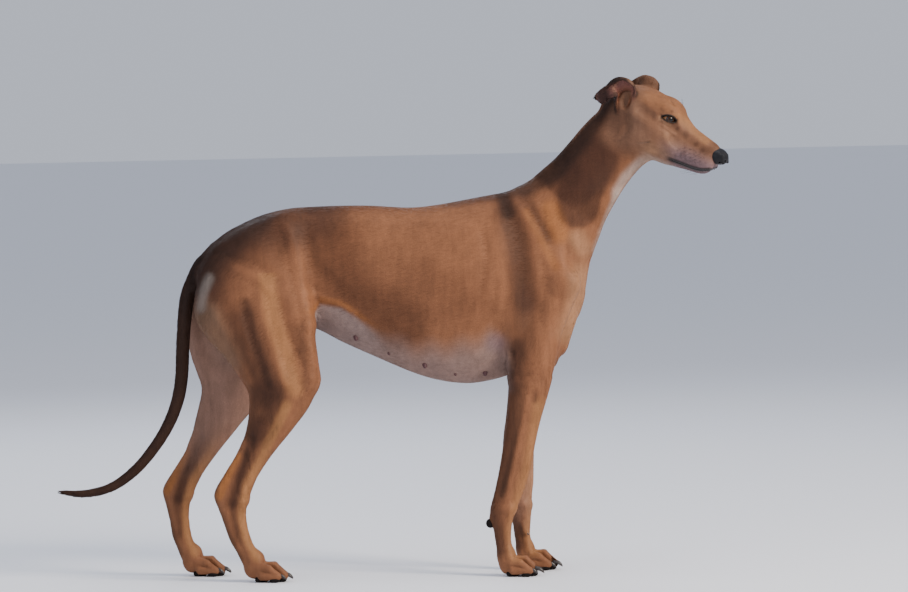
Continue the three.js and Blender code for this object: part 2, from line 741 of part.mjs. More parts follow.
// Claws: curved cones, rooted in the tip of each toe
const CLAW_RINGS = 3;
const CLAW_SIDES = 6;
const CLAW = { forward: 15, drop: 9, radius: 3.4 };
function claw([x, y, z]) {
  const loops = Array.from({ length: CLAW_RINGS + 1 }, (_, i) => {
    const t = i / CLAW_RINGS;
    const middle = vector([x + CLAW.forward * t, y, z - CLAW.drop * t * t]);
    const r = CLAW.radius * (1 - 0.75 * t * t);
    return Array.from({ length: CLAW_SIDES }, (_, j) => {
      const angle = (2 * Math.PI * j) / CLAW_SIDES;
      return middle.clone().add(vector([0, Math.sin(angle) * r * 0.8, Math.cos(angle) * r]));
    });
  });
  return solidFromLoops(loops);
}
const PAW_SIDES = 24;
const PAW_LEVELS = [0, 3, 7.5, 12, 17, 22, 27, 32.5, 39, PAW_CUT - GAP / 2];
function pawNode(name, side, anchor, shift) {
  const moved = side === LEFT ? shift(0)[1] : 0;
  const [x, y] = [anchor[0] + moved, anchor[1] * side];
  const rings = PAW_LEVELS.map((z) => ({
    middle: vector([x + 16 - z * 0.42, y, z]),
    up: X,
    side: Y,
    stretch: 1.35,
  }));
  let paw = solidFromLoops(measuredLoops(body, rings, PAW_SIDES, 90));
  TOES.forEach(({ offset, tip }) => {
    paw = paw.add(claw([x + tip - 3, y + offset * TOE_SPREAD * side, 14.5]));
  });
  addNode(name, paw, "fawn");
}

SIDES.forEach((side) => {
  const which = sideName(side);
  const hind = { middle: HIND_MIDDLE, shift: HIND_SHIFT };
  const fore = { middle: FORE_MIDDLE, shift: FORE_SHIFT };
  legTopNode("thigh_" + which, hind, side, SHANK_TOP + GAP / 2, THIGH_CUT, THIGH_TILT, 20, 22);
  legNode("shank_" + which, hind, side, stations(HOCK_TOP + GAP / 2, SHANK_TOP - GAP / 2, 18.5), 16);
  legNode("hock_" + which, hind, side, stations(PAW_CUT + GAP / 2, HOCK_TOP - GAP / 2, 15), 16);
  pawNode("hindpaw_" + which, side, HIND_PAW, HIND_SHIFT);
  legTopNode("forearm_" + which, fore, side, CARPUS_TOP + GAP / 2, ELBOW_CUT, ELBOW_TILT, 22, 18);
  legNode("pastern_" + which, fore, side, stations(PAW_CUT + GAP / 2, CARPUS_TOP - GAP / 2, 12), 16);
  pawNode("forepaw_" + which, side, FORE_PAW, FORE_SHIFT);
});

// The head. Behind the throat its rings fan out from the neck's cut; in front of it they lie square
// to the head's own length.
const headPoint = (list) => vector(list).applyMatrix4(headPlace);
const headDirection = (list) => vector(list).transformDirection(headTurn);
const headUp = headDirection([0, 0, 1]);
const headSide = headDirection([0, 1, 0]);
const THROAT = [113, 0, -92];
const HEAD_MIDDLE = curveThrough([
  [113, -12],
  [132, -14],
  [164, -22],
  [215, -22],
  [236, -18],
]);
const FAN_RINGS = 9;
const neckPivot = neckPoint(NECK_TOP).addScaledVector(NECK.up, -70);
const headPivot = headPoint(THROAT);
const fanRings = Array.from({ length: FAN_RINGS }, (_, i) => {
  const t = i / FAN_RINGS;
  const up = NECK.up.clone().lerp(headUp, t).normalize();
  const side = Y.clone().lerp(headSide, t).normalize();
  const middle = neckPivot.clone().lerp(headPivot, t).addScaledVector(up, 74 + 6 * t);
  return { middle, up, side, stretch: 1.2 };
});
const headRing = (s) => ({
  middle: headPoint([s, 0, HEAD_MIDDLE(s)[1]]),
  up: headUp,
  side: headSide,
  stretch: 1.2,
});
const HEAD_SIDES = 30;
const headStations = [...stations(THROAT[0], 155, 7), ...stations(163, 229, 9.5), 234];
const headRings = [...fanRings, ...headStations.map(headRing)];
let wholeHead = solidFromLoops(measuredLoops(body, headRings, HEAD_SIDES));
wholeHead = cutAt(wholeHead, opposite(HEAD_CUT));

// Places a solid made in the head's own frame.
const inHead = (solid) => solid.transform(headPlace.elements.slice());

// Nose leather: a rounded pad with a wing and a comma of a nostril on each side, bedded in the muzzle
const NOSE_CONES = [76, 60, 44, 28, 12];
const noseForms = flesh([
  [mass([228, 0, -8.5], [18.5, 13, 15], 6), 1],
  [mass([228, 9, -10], [15, 8.5, 12], 4), 5],
]);
const nose = (p) => noseForms(mirrored.set(p.x, Math.abs(p.y), p.z));
const NOSE_BACK = 215;
const noseRing = (s) => ({ middle: vector([s, 0, -8]), up: Z, side: Y });
function noseSolid(extra) {
  const field = (p) => nose(p) - extra;
  const rings = [
    ...[NOSE_BACK - extra, 222, 228].map(noseRing),
    ...NOSE_CONES.map((cone) => ({ ...noseRing(228), cone, axis: X })),
  ];
  return solidFromLoops(measuredLoops(field, rings, 18, 60));
}
function taper(from, to, radiusFrom, radiusTo) {
  const [a, b] = [vector(from), vector(to)];
  const cone = new THREE.CylinderGeometry(radiusTo, radiusFrom, a.distanceTo(b), 8);
  const turn = new THREE.Quaternion().setFromUnitVectors(Y, b.clone().sub(a).normalize());
  cone.applyMatrix4(new THREE.Matrix4().compose(a.clone().add(b).divideScalar(2), turn, vector([1, 1, 1])));
  return solidOf(cone);
}
let pad = noseSolid(0);
SIDES.forEach((side) => {
  pad = pad.subtract(taper([233, 4.5 * side, -9], [250, 8 * side, -12], 1.8, 3.6));
  pad = pad.subtract(taper([234, 9 * side, -13], [239, 21 * side, -17], 1, 1.7));
});
addNode("nose", inHead(pad), "nose");

// Eyes: balls that look outwards and a little forwards and up, under lids with an almond opening
const EYE = [121, 24, 17];
const EYE_LOOK = vector([0.46, 0.87, 0.2]).normalize();
const EYE_SLANT = -8; // degrees that the opening falls towards the nose
const OPENING = { half: 12.6, over: 7.2, under: 5.6 };
const BALL_SEGMENTS = [16, 11];
const ball = (radius) => solidOf(new THREE.SphereGeometry(radius, ...BALL_SEGMENTS));
function eyePlace(side) {
  const look = EYE_LOOK.clone().multiply(vector([1, side, 1]));
  const level = new THREE.Vector3().crossVectors(Z, look).normalize();
  const upward = new THREE.Vector3().crossVectors(look, level);
  const basis = new THREE.Matrix4().makeBasis(level, upward, look);
  const slant = new THREE.Matrix4().makeRotationZ(radians(EYE_SLANT) * side);
  return basis.multiply(slant).setPosition(vector([EYE[0], EYE[1] * side, EYE[2]]));
}
function almond() {
  const { half, over, under } = OPENING;
  const outline = new THREE.Shape();
  outline.moveTo(-half, 0);
  outline.bezierCurveTo(-half * 0.45, over * 1.3, half * 0.45, over * 1.3, half, 0);
  outline.bezierCurveTo(half * 0.45, -under * 1.3, -half * 0.45, -under * 1.3, -half, 0);
  const prism = new THREE.ExtrudeGeometry(outline, { depth: 40, bevelEnabled: false, curveSegments: 7 });
  return solidOf(prism);
}
const eyes = SIDES.map((side) => ({ side, place: eyePlace(side).elements.slice() }));
eyes.forEach(({ side, place }) => {
  wholeHead = wholeHead.add(inHead(ball(EYE_RADIUS + LID_THICKNESS).transform(place)));
  wholeHead = wholeHead.subtract(inHead(ball(EYE_RADIUS + GAP).transform(place)));
  wholeHead = wholeHead.subtract(inHead(almond().transform(place)));
  addNode("eye_" + sideName(side), inHead(ball(EYE_RADIUS).transform(place)), "eye");
});

// Lips: a roll on each side of the line of the mouth, from one corner round the front to the other
const MOUTH = [
  [147, -49],
  [156, -48.5],
  [176, -47],
  [195, -45.5],
  [211, -42],
  [223, -36],
];
const LIP_RADIUS = 2.1;
const LIP_SIDES = 5;
function lipRoll(lift) {
  const nearHalf = MOUTH.slice(1).map(([s, z], i, list) => {
    const out = i < list.length - 1 ? Y : X;
    const from = i < list.length - 1 ? [s, 0, z + lift] : [s - 25, 0, z + lift];
    const local = (p) => body(p.applyMatrix4(headPlace));
    const r = reach(local, vector(from), out, 80);
    return vector(from).addScaledVector(out, r - 0.8);
  });
  const otherHalf = nearHalf.slice(0, -1).map((v) => vector([v.x, -v.y, v.z]));
  const path = new THREE.CatmullRomCurve3([...nearHalf, ...otherHalf.reverse()]);
  const steps = 18;
  const loops = Array.from({ length: steps + 1 }, (_, i) => {
    const along = path.getTangent(i / steps);
    const out = new THREE.Vector3().crossVectors(along, Z).normalize();
    const up = new THREE.Vector3().crossVectors(out, along);
    const r = LIP_RADIUS * (i === 0 || i === steps ? 0.4 : 1);
    return Array.from({ length: LIP_SIDES }, (_, j) => {
      const angle = (2 * Math.PI * j) / LIP_SIDES;
      const turned = out.clone().multiplyScalar(Math.cos(angle)).addScaledVector(up, Math.sin(angle));
      return path.getPoint(i / steps).addScaledVector(turned, r);
    });
  });
  return inHead(solidFromLoops(loops));
}
wholeHead = wholeHead.add(lipRoll(LIP_RADIUS * 0.9)).add(lipRoll(-LIP_RADIUS * 0.9));

// The lower jaw is what lies under the line of the mouth, in front of its corner.
const JAW_BACK = 141;
const JAW_DEPTH = 120;
function underMouth(gap, back) {
  const line = MOUTH.map(([s, z]) => new THREE.Vector2(s, z - gap));
  const outline = new THREE.Shape();
  outline.setFromPoints([
    new THREE.Vector2(JAW_BACK + back, -JAW_DEPTH),
    new THREE.Vector2(270, -JAW_DEPTH),
    new THREE.Vector2(270, MOUTH[MOUTH.length - 1][1] - gap + 6),
    ...line.reverse(),
    new THREE.Vector2(MOUTH[0][0] - 1 + back, MOUTH[0][1] - 1 - gap),
  ]);
  const slab = new THREE.ExtrudeGeometry(outline, { depth: 140, bevelEnabled: false });
  slab.translate(0, 0, -70);
  slab.rotateX(Math.PI / 2);
  return inHead(solidOf(slab));
}
const jaw = wholeHead.intersect(underMouth(MOUTH_GAP / 2, GAP / 2));
wholeHead = wholeHead.subtract(underMouth(-MOUTH_GAP / 2, -GAP / 2));
addNode("jaw", jaw, "fawn");

// Ears: thin leaves rolled into a cup that opens sideways, with the upper part folded back.
// Each row runs from the front edge over the back of the cup to the rear edge; rows go root to tip.
const EAR_ROWS = [
  [[47, 33, 4], [41, 22, 13], [29, 17, 13], [22, 24, 2], [29, 35, -10]],
  [[49, 37, 24], [40, 28, 33], [22, 25, 29], [15, 33, 14], [22, 44, 4]],
  [[41, 40, 46], [30, 36, 51], [13, 34, 47], [9, 39, 30], [19, 48, 20]],
  [[16, 46, 49], [7, 43, 47], [-2, 40, 37], [0, 43, 23], [11, 50, 12]],
  [[-8, 47, 22], [-9, 45, 15], [-10, 44, 9], [-7, 46, 4], [1, 49, -3]],
  [[-17, 46, 5], [-17, 45, 2], [-16, 45, 0], [-14, 46, -2], [-10, 47, -4]],
];
const PRICK = { forward: 16, up: 7 }; // the left ear stands further forward
const PRICK_SHARE = [0.3, 0.9, 1, 0.9, 0.6, 0.5];
const EAR_STEPS = { along: 11, across: 8 };
function earLeaf(side) {
  const rows = EAR_ROWS.map((row, i) =>
    row.map(([x, y, z]) => {
      const more = side === LEFT ? PRICK_SHARE[i] : 0;
      return vector([x + PRICK.forward * more, y * side, z + PRICK.up * more]);
    }),
  );
  const columns = rows[0].map((_, k) => new THREE.CatmullRomCurve3(rows.map((row) => row[k])));
  return (u, v) => new THREE.CatmullRomCurve3(columns.map((c) => c.getPoint(u))).getPoint(v);
}
function earSolid(side, thickness, margin) {
  const leaf = earLeaf(side);
  const { along, across } = EAR_STEPS;
  const faces = [[], []];
  for (let i = 0; i <= along; i += 1) {
    for (let j = 0; j <= across; j += 1) {
      const [u, v] = [i / along, j / across];
      const point = leaf(u, v);
      const du = leaf(Math.min(u + 0.02, 1), v).sub(leaf(Math.max(u - 0.02, 0), v));
      const dv = leaf(u, Math.min(v + 0.02, 1)).sub(leaf(u, Math.max(v - 0.02, 0)));
      const normal = new THREE.Vector3().crossVectors(du, dv).normalize();
      const outward = dv.normalize().multiplyScalar(margin * (2 * v - 1) * (Math.abs(2 * v - 1) === 1));
      const lengthwise = du.normalize().multiplyScalar(margin * (2 * u - 1) * (Math.abs(2 * u - 1) === 1));
      point.add(outward).add(lengthwise);
      faces[0].push(point.clone().addScaledVector(normal, thickness / 2));
      faces[1].push(point.clone().addScaledVector(normal, -thickness / 2));
    }
  }
  const width = across + 1;
  const size = faces[0].length;
  const triangles = [];
  for (let i = 0; i < along; i += 1) {
    for (let j = 0; j < across; j += 1) {
      const a = i * width + j;
      [[a, a + 1, a + width + 1], [a, a + width + 1, a + width]].forEach(([p, q, r]) => {
        triangles.push(p, q, r, size + p, size + r, size + q);
      });
    }
  }
  const rim = [];
  for (let j = 0; j < across; j += 1) rim.push(j);
  for (let i = 0; i < along; i += 1) rim.push(i * width + across);
  for (let j = across; j > 0; j -= 1) rim.push(along * width + j);
  for (let i = along; i > 0; i -= 1) rim.push(i * width);
  rim.forEach((a, i) => {
    const b = rim[(i + 1) % rim.length];
    triangles.push(b, a, size + a, b, size + a, size + b);
  });
  return inHead(solidFrom(faces.flat(), triangles));
}
SIDES.forEach((side) => {
  wholeHead = wholeHead.subtract(earSolid(side, EAR_THICKNESS + 2 * GAP, GAP));
  addNode("ear_" + sideName(side), earSolid(side, EAR_THICKNESS, 0), "ear");
});
addNode("head", wholeHead.subtract(inHead(noseSolid(GAP))), "fawn");

export default group;
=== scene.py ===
"""A greyhound bitch at life size, standing, with its head turned a little to its right.

All shapes are worked out in millimetres, x forwards, y to the animal's left and z up from the floor,
and become metres when they are put into a mesh.
"""

import bpy
import numpy as np
from mathutils import Matrix


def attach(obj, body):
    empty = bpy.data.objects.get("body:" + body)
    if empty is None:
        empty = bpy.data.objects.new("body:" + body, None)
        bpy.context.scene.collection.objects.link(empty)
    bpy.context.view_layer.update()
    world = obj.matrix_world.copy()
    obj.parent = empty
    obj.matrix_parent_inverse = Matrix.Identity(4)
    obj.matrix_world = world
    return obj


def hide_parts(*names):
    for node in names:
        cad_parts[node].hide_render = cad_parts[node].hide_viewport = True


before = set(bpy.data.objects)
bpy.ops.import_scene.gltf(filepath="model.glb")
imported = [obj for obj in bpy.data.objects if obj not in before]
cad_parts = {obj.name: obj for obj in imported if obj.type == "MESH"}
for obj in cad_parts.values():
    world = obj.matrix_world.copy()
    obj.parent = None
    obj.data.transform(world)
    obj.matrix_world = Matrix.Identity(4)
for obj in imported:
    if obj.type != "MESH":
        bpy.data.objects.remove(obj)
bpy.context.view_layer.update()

# The body under the coat
# One skin covers chest, belly, neck, head, ears, legs and tail without a seam, as on the living
# animal. It is the zero of a field of flesh: long barrels for the large forms, then muscles, bones
# and tendons merged into them or hollowed out of them, each over a band of its own.
COAT_DEPTH = 1.2  # the skin lies this far under the outside of the hair


def profile(rows, pitch=1.0):
    """Rows of [station, value ...] as an even table: cubics whose slope at a row is its neighbours'.

    The first value pair's mean slope goes in a last column, for forms that need it."""
    rows = np.array(rows, float)
    s = np.arange(rows[0, 0], rows[-1, 0] + pitch, pitch)
    s[-1] = rows[-1, 0]
    i = np.clip(np.searchsorted(rows[:, 0], s, side="right") - 1, 0, len(rows) - 2)
    before = np.maximum(np.arange(len(rows)) - 1, 0)
    after = np.minimum(np.arange(len(rows)) + 1, len(rows) - 1)
    slope = (rows[after] - rows[before]) / (rows[after, :1] - rows[before, :1])
    span = (rows[i + 1, 0] - rows[i, 0])[:, None]
    t = ((s - rows[i, 0]) / span[:, 0])[:, None]
    rise = t * t * (3 - 2 * t)
    values = rows[i, 1:] * (1 - rise) + rows[i + 1, 1:] * rise
    values += slope[i, 1:] * t * (1 - t) ** 2 * span + slope[i + 1, 1:] * t * t * (t - 1) * span
    middle = values[:, :2].mean(axis=1)
    return rows[0, 0], pitch, np.column_stack([values, np.gradient(middle, pitch)])


def read(table, station):
    """The table's row of values at each station, straight between its entries."""
    start, pitch, values = table
    t = np.clip((station - start) / pitch, 0, len(values) - 1.001)
    i = t.astype(int)
    f = (t - i)[:, None]
    return values[i] * (1 - f) + values[i + 1] * f


def folded(p):
    """Points with y as the distance from the middle, as both sides are built alike."""
    return np.column_stack([p[:, 0], np.abs(p[:, 1]), p[:, 2]])


def unit(rows):
    """Each row of three brought to length 1."""
    return rows / np.maximum(np.linalg.norm(rows, axis=-1), 1e-6)[..., None]


def merged(a, b, soft):
    """The lesser of two distances, rounded where they differ by less than soft."""
    near = np.maximum(soft - np.abs(a - b), 0) / soft
    return np.minimum(a, b) - near * near * soft / 4


def barrel(axes, rows, roundness=2.0, end=25.0):
    """A long form. At each station it reaches from low to high and half a width to each side.

    Distance is the radius times one less the share of the oval that it makes up there; the oval is
    the roundness-norm of the height share and the width share, and past its ends an arc closes it."""
    origin, axis, up, side = (np.array(v, float) for v in axes)
    table = profile(rows)
    first, last = rows[0][0], rows[-1][0]

    def field(p):
        d = p - origin
        s, u, w = d @ axis, d @ up, d @ side
        low, high, middle, half, lean, slope = read(table, s).T
        past = s - np.clip(s, first, last)
        height = (high - low) / 2
        du = u - (high + low) / 2
        dw = w - middle
        across = np.abs(du / height)
        beside = np.abs(dw / (half * (1 + lean * np.clip(du / height, -1, 1))))
        flat = (across**roundness + beside**roundness) ** (1 / roundness)
        share = np.maximum(np.hypot(flat, past / end), 1e-3)
        far = np.sqrt(du * du + dw * dw + past * past)
        return far * (1 - 1 / share) / np.hypot(1, slope)

    return field


def strap(start, stop, first, last, soft, cut=False):
    """A muscle, bone or tendon between two points, with its half depth and half width at each end.

    Distance is that of an ellipsoid whose centre is the nearest point of the line between them."""
    a, b = np.array(start, float), np.array(stop, float)
    length = np.linalg.norm(b - a)
    along = (b - a) / length
    wide = np.array([0, 1, 0]) - along[1] * along
    wide /= np.linalg.norm(wide)
    deep = np.cross(along, wide)

    def field(p):
        d = p - a
        run = d @ along
        t = np.clip(run / length, 0, 1)
        ra = first[0] + (last[0] - first[0]) * t
        rb = first[1] + (last[1] - first[1]) * t
        rc = (ra + rb) / 2
        n, w, past = d @ deep / ra, d @ wide / rb, (run - t * length) / rc
        share = np.sqrt(n * n + w * w + past * past)
        pull = np.sqrt((n / ra) ** 2 + (w / rb) ** 2 + (past / rc) ** 2)
        return share * (share - 1) / np.maximum(pull, 1e-6)

    room = max(first + last) + soft + 3
    return field, np.minimum(a, b) - room, np.maximum(a, b) + room, soft, cut


def mass(at, size, soft, cut=False, tip=0.0):
    """A rounded mass: an ellipsoid with half sizes along x, y and z, tipped nose up by tip degrees."""
    at, size = np.array(at, float), np.array(size, float)
    cos, sin = np.cos(np.radians(tip)), np.sin(np.radians(tip))

    def field(p):
        d = p - at
        q = np.column_stack([d[:, 0] * cos + d[:, 2] * sin, d[:, 1], d[:, 2] * cos - d[:, 0] * sin]) / size
        share = np.sqrt((q * q).sum(axis=1))
        return share * (share - 1) / np.maximum(np.sqrt(((q / size) ** 2).sum(axis=1)), 1e-6)

    room = size.max() + soft + 3
    return field, at - room, at + room, soft, cut


FAR = 120.0  # stands for the distance to nothing, where no form is near


def build_up(d, p, forms):
    """Each form merged into the distances d, or cut out of them, near its own box only."""
    x, y, z = np.ascontiguousarray(p.T)
    for field, low, high, soft, cut in forms:
        near = np.flatnonzero((x > low[0]) & (x < high[0]))
        near = near[(z[near] > low[2]) & (z[near] < high[2])]
        near = near[(y[near] > low[1]) & (y[near] < high[1])]
        if len(near):
            other = field(p[near])
            d[near] = -merged(-d[near], other, soft) if cut else merged(d[near], other, soft)
    return d


LEVEL = ([0, 0, 0], [1, 0, 0], [0, 0, 1], [0, 1, 0])
UPRIGHT = ([0, 0, 0], [0, 0, 1], [1, 0, 0], [0, 1, 0])
trunk = barrel(
    LEVEL,
    [
        [-344, 526, 585, 0, 30, 0],
        [-328, 508, 608, 0, 47, 0],
        [-300, 492, 632, 0, 60, 0],
        [-272, 482, 647, 0, 67, 0.05],
        [-245, 474, 659, 0, 71, 0.08],
        [-217, 465, 668, 0, 72, 0.1],
        [-180, 460, 675, 0, 69, 0.12],
        [-142, 455, 677, 0, 64, 0.14],
        [-88, 427, 678, 0, 64, 0.14],
        [-35, 402, 677, 0, 71, 0.14],
        [39, 369, 672, 0, 82, 0.14],
        [88, 354, 676, 0, 88, 0.15],
        [138, 348, 684, 0, 88, 0.16],
        [179, 353, 691, 0, 83, 0.16],
        [213, 362, 696, 0, 76, 0.15],
        [250, 375, 700, 0, 67, 0.1],
        [290, 396, 682, 0, 56, 0.05],
        [318, 424, 648, 0, 46, 0],
        [336, 466, 600, 0, 34, 0],
    ],
    roundness=2.15,
    end=15,
)
NECK_PITCH = np.radians(50)
NECK_ORIGIN = np.array([300.0, 0, 640])
NECK_AXIS = np.array([np.cos(NECK_PITCH), 0, np.sin(NECK_PITCH)])
NECK_UP = np.array([-np.sin(NECK_PITCH), 0, np.cos(NECK_PITCH)])
neck = barrel(
    (NECK_ORIGIN, NECK_AXIS, NECK_UP, [0, 1, 0]),
    [
        [-50, -100, 70, 0, 52, 0],
        [-20, -96, 86, 0, 58, -0.05],
        [20, -85, 84, 0, 54, -0.1],
        [56, -73, 78, 0, 48, -0.1],
        [91, -66, 72, 0, 45, -0.05],
        [132, -61, 70, 0, 43, 0],
        [170, -61, 69, 0, 43, 0],
        [205, -66, 64, 0, 42, -0.05],
        [228, -60, 52, 0, 36, -0.1],
    ],
)

# Both sides of the trunk are alike, so y stands for the distance from the middle.
SHOULDER = [
    strap([212, 24, 662], [314, 56, 532], [28, 15], [30, 17], 32),  # along the blade's ridge
    strap([205, 34, 640], [236, 58, 440], [34, 19], [30, 20], 28),  # behind the ridge
    strap([314, 54, 526], [256, 59, 392], [30, 19], [29, 19], 18),  # upper arm
    strap([232, 50, 560], [226, 62, 384], [40, 19], [17, 15], 18),  # three-headed muscle
    strap([338, 8, 590], [330, 16, 505], [20, 22], [18, 22], 20),  # breast
    strap([326, 18, 510], [298, 30, 420], [20, 20], [22, 22], 16),
    strap([316, 22, 462], [290, 34, 388], [17, 20], [13, 18], 14),  # lower end of the breast
]
RUMP = [
    strap([-186, 40, 648], [-240, 50, 610], [18, 18], [34, 24], 20),  # point of the hip
    strap([-180, 48, 630], [-160, 66, 470], [15, 14], [18, 16], 20),  # front edge of the thigh
    strap([-250, 48, 590], [-215, 62, 460], [52, 26], [60, 28], 24),
    strap([-318, 34, 556], [-302, 50, 478], [26, 22], [32, 24], 22),  # seat
]
SHIN_ROWS = [
    [30, -278, -238, 67, 17, 0],
    [54, -289, -249, 66, 14.5, 0],
    [76, -301, -260, 66, 13, 0],
    [109, -312, -268, 66, 12.5, 0],
    [135, -321, -268, 66, 14, 0],
    [155, -328, -262, 66, 15, 0],
    [168, -326, -257, 66, 14.5, 0],
    [192, -311, -246, 67, 14, 0.2],
    [231, -286, -219, 69, 17, 0.15],
    [274, -268, -183, 71, 22, 0.05],
    [314, -260, -152, 71, 26, 0],
    [345, -262, -138, 70, 29, -0.1],
    [374, -278, -135, 68, 32, -0.1],
    [404, -300, -136, 65, 34, -0.05],
    [441, -331, -141, 60, 37, 0],
    [474, -352, -143, 57, 40, 0],
    [510, -356, -148, 53, 41, 0],
    [550, -344, -168, 49, 38, 0],
    [600, -318, -200, 42, 28, 0],
]
ARM_ROWS = [
    [28, 184, 216, 56, 16, 0],
    [45, 182, 213, 56, 14.5, 0],
    [66, 179, 210, 55, 13.5, 0],
    [88, 176, 211, 55, 14.5, 0],
    [104, 172, 214, 55, 16, 0],
    [122, 171, 220, 55, 16.5, 0],
    [138, 175, 227, 55, 15.5, 0],
    [160, 181, 237, 56, 14.5, 0.1],
    [200, 190, 249, 57, 16, 0.15],
    [240, 197, 257, 59, 18.5, 0.15],
    [281, 204, 267, 61, 21, 0.1],
    [326, 209, 281, 63, 22.5, 0],
    [357, 211, 290, 64, 23, 0],
    [390, 214, 298, 64, 22, 0],
    [430, 224, 300, 62, 18, 0],
]
HIND_LEG = [
    strap([-152, 78, 460], [-150, 80, 372], [14, 18], [18, 20], 14),  # front of the thigh
    strap([-300, 72, 470], [-196, 82, 362], [34, 22], [26, 20], 18),  # back of the thigh
    strap([-228, 72, 356], [-244, 71, 282], [22, 20], [12, 12], 14),  # calf
    mass([-152, 72, 366], [20, 22, 26], 14, tip=10),  # knee
    strap([-262, 87, 262], [-298, 82, 196], [9, 6], [8, 5], 9, True),  # hollows beside the heel's tendon
    strap([-262, 55, 262], [-298, 51, 196], [9, 6], [8, 5], 9, True),
    mass([-276, 66, 150], [13, 15.5, 12], 8),  # hock
    mass([-276, 79, 168], [7, 4, 9], 6),  # outer ankle
    mass([-276, 53, 168], [7, 4, 9], 6),
]
FORE_LEG = [
    strap([222, 66, 392], [220, 66, 358], [11, 15], [10, 14], 14),  # elbow
    mass([178, 55, 103], [8, 7, 11], 8),  # what carries the pad of the wrist
    mass([204, 55, 124], [17, 18, 13], 8),  # wrist
    strap([194, 42, 86], [199, 40, 70], [6, 5], [5, 4.5], 5),  # fifth toe, on the inner side
    mass([180, 68, 124], [7, 3, 10], 6),
]
# Four arched toes over their pads: offset from the paw's middle, knuckle, its height, and tip.
TOES = [(-18.5, 21, 25.5, 41), (-6.4, 31, 30, 53), (6.4, 31, 30, 53), (18.5, 21, 25.5, 41)]
TOE_SPREAD = 1.1


def paw(x, y, lift):
    """The wedge behind the toes, and for each toe its two bones and what lies under them."""
    forms = [strap([x - 2, y, lift + 8], [x + 7, y, 22], [17, 17], [14, 17.5], 8)]
    for offset, knuckle, high, tip in TOES:
        bend = [x + knuckle, y + offset, high]
        end = [x + tip - 3, y + offset * TOE_SPREAD, 12]
        forms.append(strap([x + 6, y + offset * 0.75, 28], bend, [10, 7], [8, 6.4], 2.5))
        forms.append(strap(bend, end, [7.5, 6.2], [7.5, 6.4], 1.5))
        forms.append(mass(bend, [8.5, 6.6, 7.5], 1.5))
        forms.append(mass([end[0] - 2, end[1], 11.5], [9.5, 7, 8.5], 1.5))
        back = [x + 8, y + offset * 0.8, 12.5]
        forms.append(strap(back, [end[0] - 8, end[1], 10.5], [9.5, 7], [7.5, 6.4], 1.5))
    for offset, start, tip in ((-12.6, 10, 34), (0, 16, 46), (12.6, 10, 34)):  # webs sunk between the toes
        top, bottom = [x + start, y + offset * 0.9, 37], [x + tip, y + offset * 1.08, 20]
        forms.append(strap(top, bottom, [4, 1.5], [6, 1.8], 2.2, True))
    return forms


HIND_PAW, FORE_PAW = (-252, 67), (203, 56)  # their middles, on the right
HIND_STEP, FORE_STEP = -118, 36  # how far the left paws stand from where the right ones do
# The left legs, by height: how far they are moved along x, and how much slimmer they are.
HIND_SHIFT = profile(
    [
        [0, HIND_STEP, 1], [48, HIND_STEP, 1.06], [100, -110, 1.15], [161, -104, 1.12], [230, -101, 1.03],
        [301, -100, 1], [391, -76, 1], [441, -46, 1], [480, -22, 1], [530, 0, 1],
    ]
)
FORE_SHIFT = profile(
    [[0, FORE_STEP, 1], [60, FORE_STEP, 1], [104, 35, 1], [143, 22, 1], [207, 5, 1], [255, 0, 1]]
)
# The middle of the right legs, by height: along x and outwards.
HIND_MIDDLE = profile(
    [
        [47, -262, 66], [76, -281, 66], [130, -293, 66], [161, -292, 66], [192, -277, 67], [231, -250, 69],
        [274, -224, 71], [326, -202, 71], [374, -205, 68], [441, -235, 60], [520, -250, 55],
    ]
)
FORE_MIDDLE = profile(
    [
        [47, 197, 56], [66, 195, 55], [104, 193, 55], [143, 202, 55],
        [200, 220, 57], [281, 236, 61], [357, 250, 64], [420, 262, 64],
    ]
)


def in_leg(p, shift, middle):
    """Points as if each leg were a right one: y counts outwards, and a left leg's are moved onto it."""
    q, left = folded(p), p[:, 1] > 0
    moved, slim = read(shift, q[left, 2])[:, :2].T
    x = read(middle, q[left, 2])[:, 0]
    q[left, 0] = x + (q[left, 0] - moved - x) * slim
    return q


def near_legs(p):
    """For the hind and then the fore legs: which points are near, and those as if on a right leg."""
    x, z = p[:, 0], p[:, 2]
    hind = np.flatnonzero((x < -60) & (z < 560))
    fore = np.flatnonzero((x > 120) & (x < 340) & (z < 460))
    return (hind, in_leg(p[hind], HIND_SHIFT, HIND_MIDDLE)), (fore, in_leg(p[fore], FORE_SHIFT, FORE_MIDDLE))


def leg(bone, forms, paw_forms, shift, middle):
    """A leg on either side: its long form, then muscles and bones, then the paw."""

    def field(p):
        q = in_leg(p, shift, middle)
        d = build_up(bone(q) if bone else np.full(len(q), FAR), q, forms)
        low = q[:, 2] < 75
        d[low] = merged(d[low], build_up(np.full(low.sum(), FAR), q[low], paw_forms), 9)
        return d

    return field


hind_leg = leg(barrel(UPRIGHT, SHIN_ROWS, 2.3), HIND_LEG, paw(*HIND_PAW, 34), HIND_SHIFT, HIND_MIDDLE)
fore_leg = leg(barrel(UPRIGHT, ARM_ROWS, 2.2), FORE_LEG, paw(*FORE_PAW, 30), FORE_SHIFT, FORE_MIDDLE)

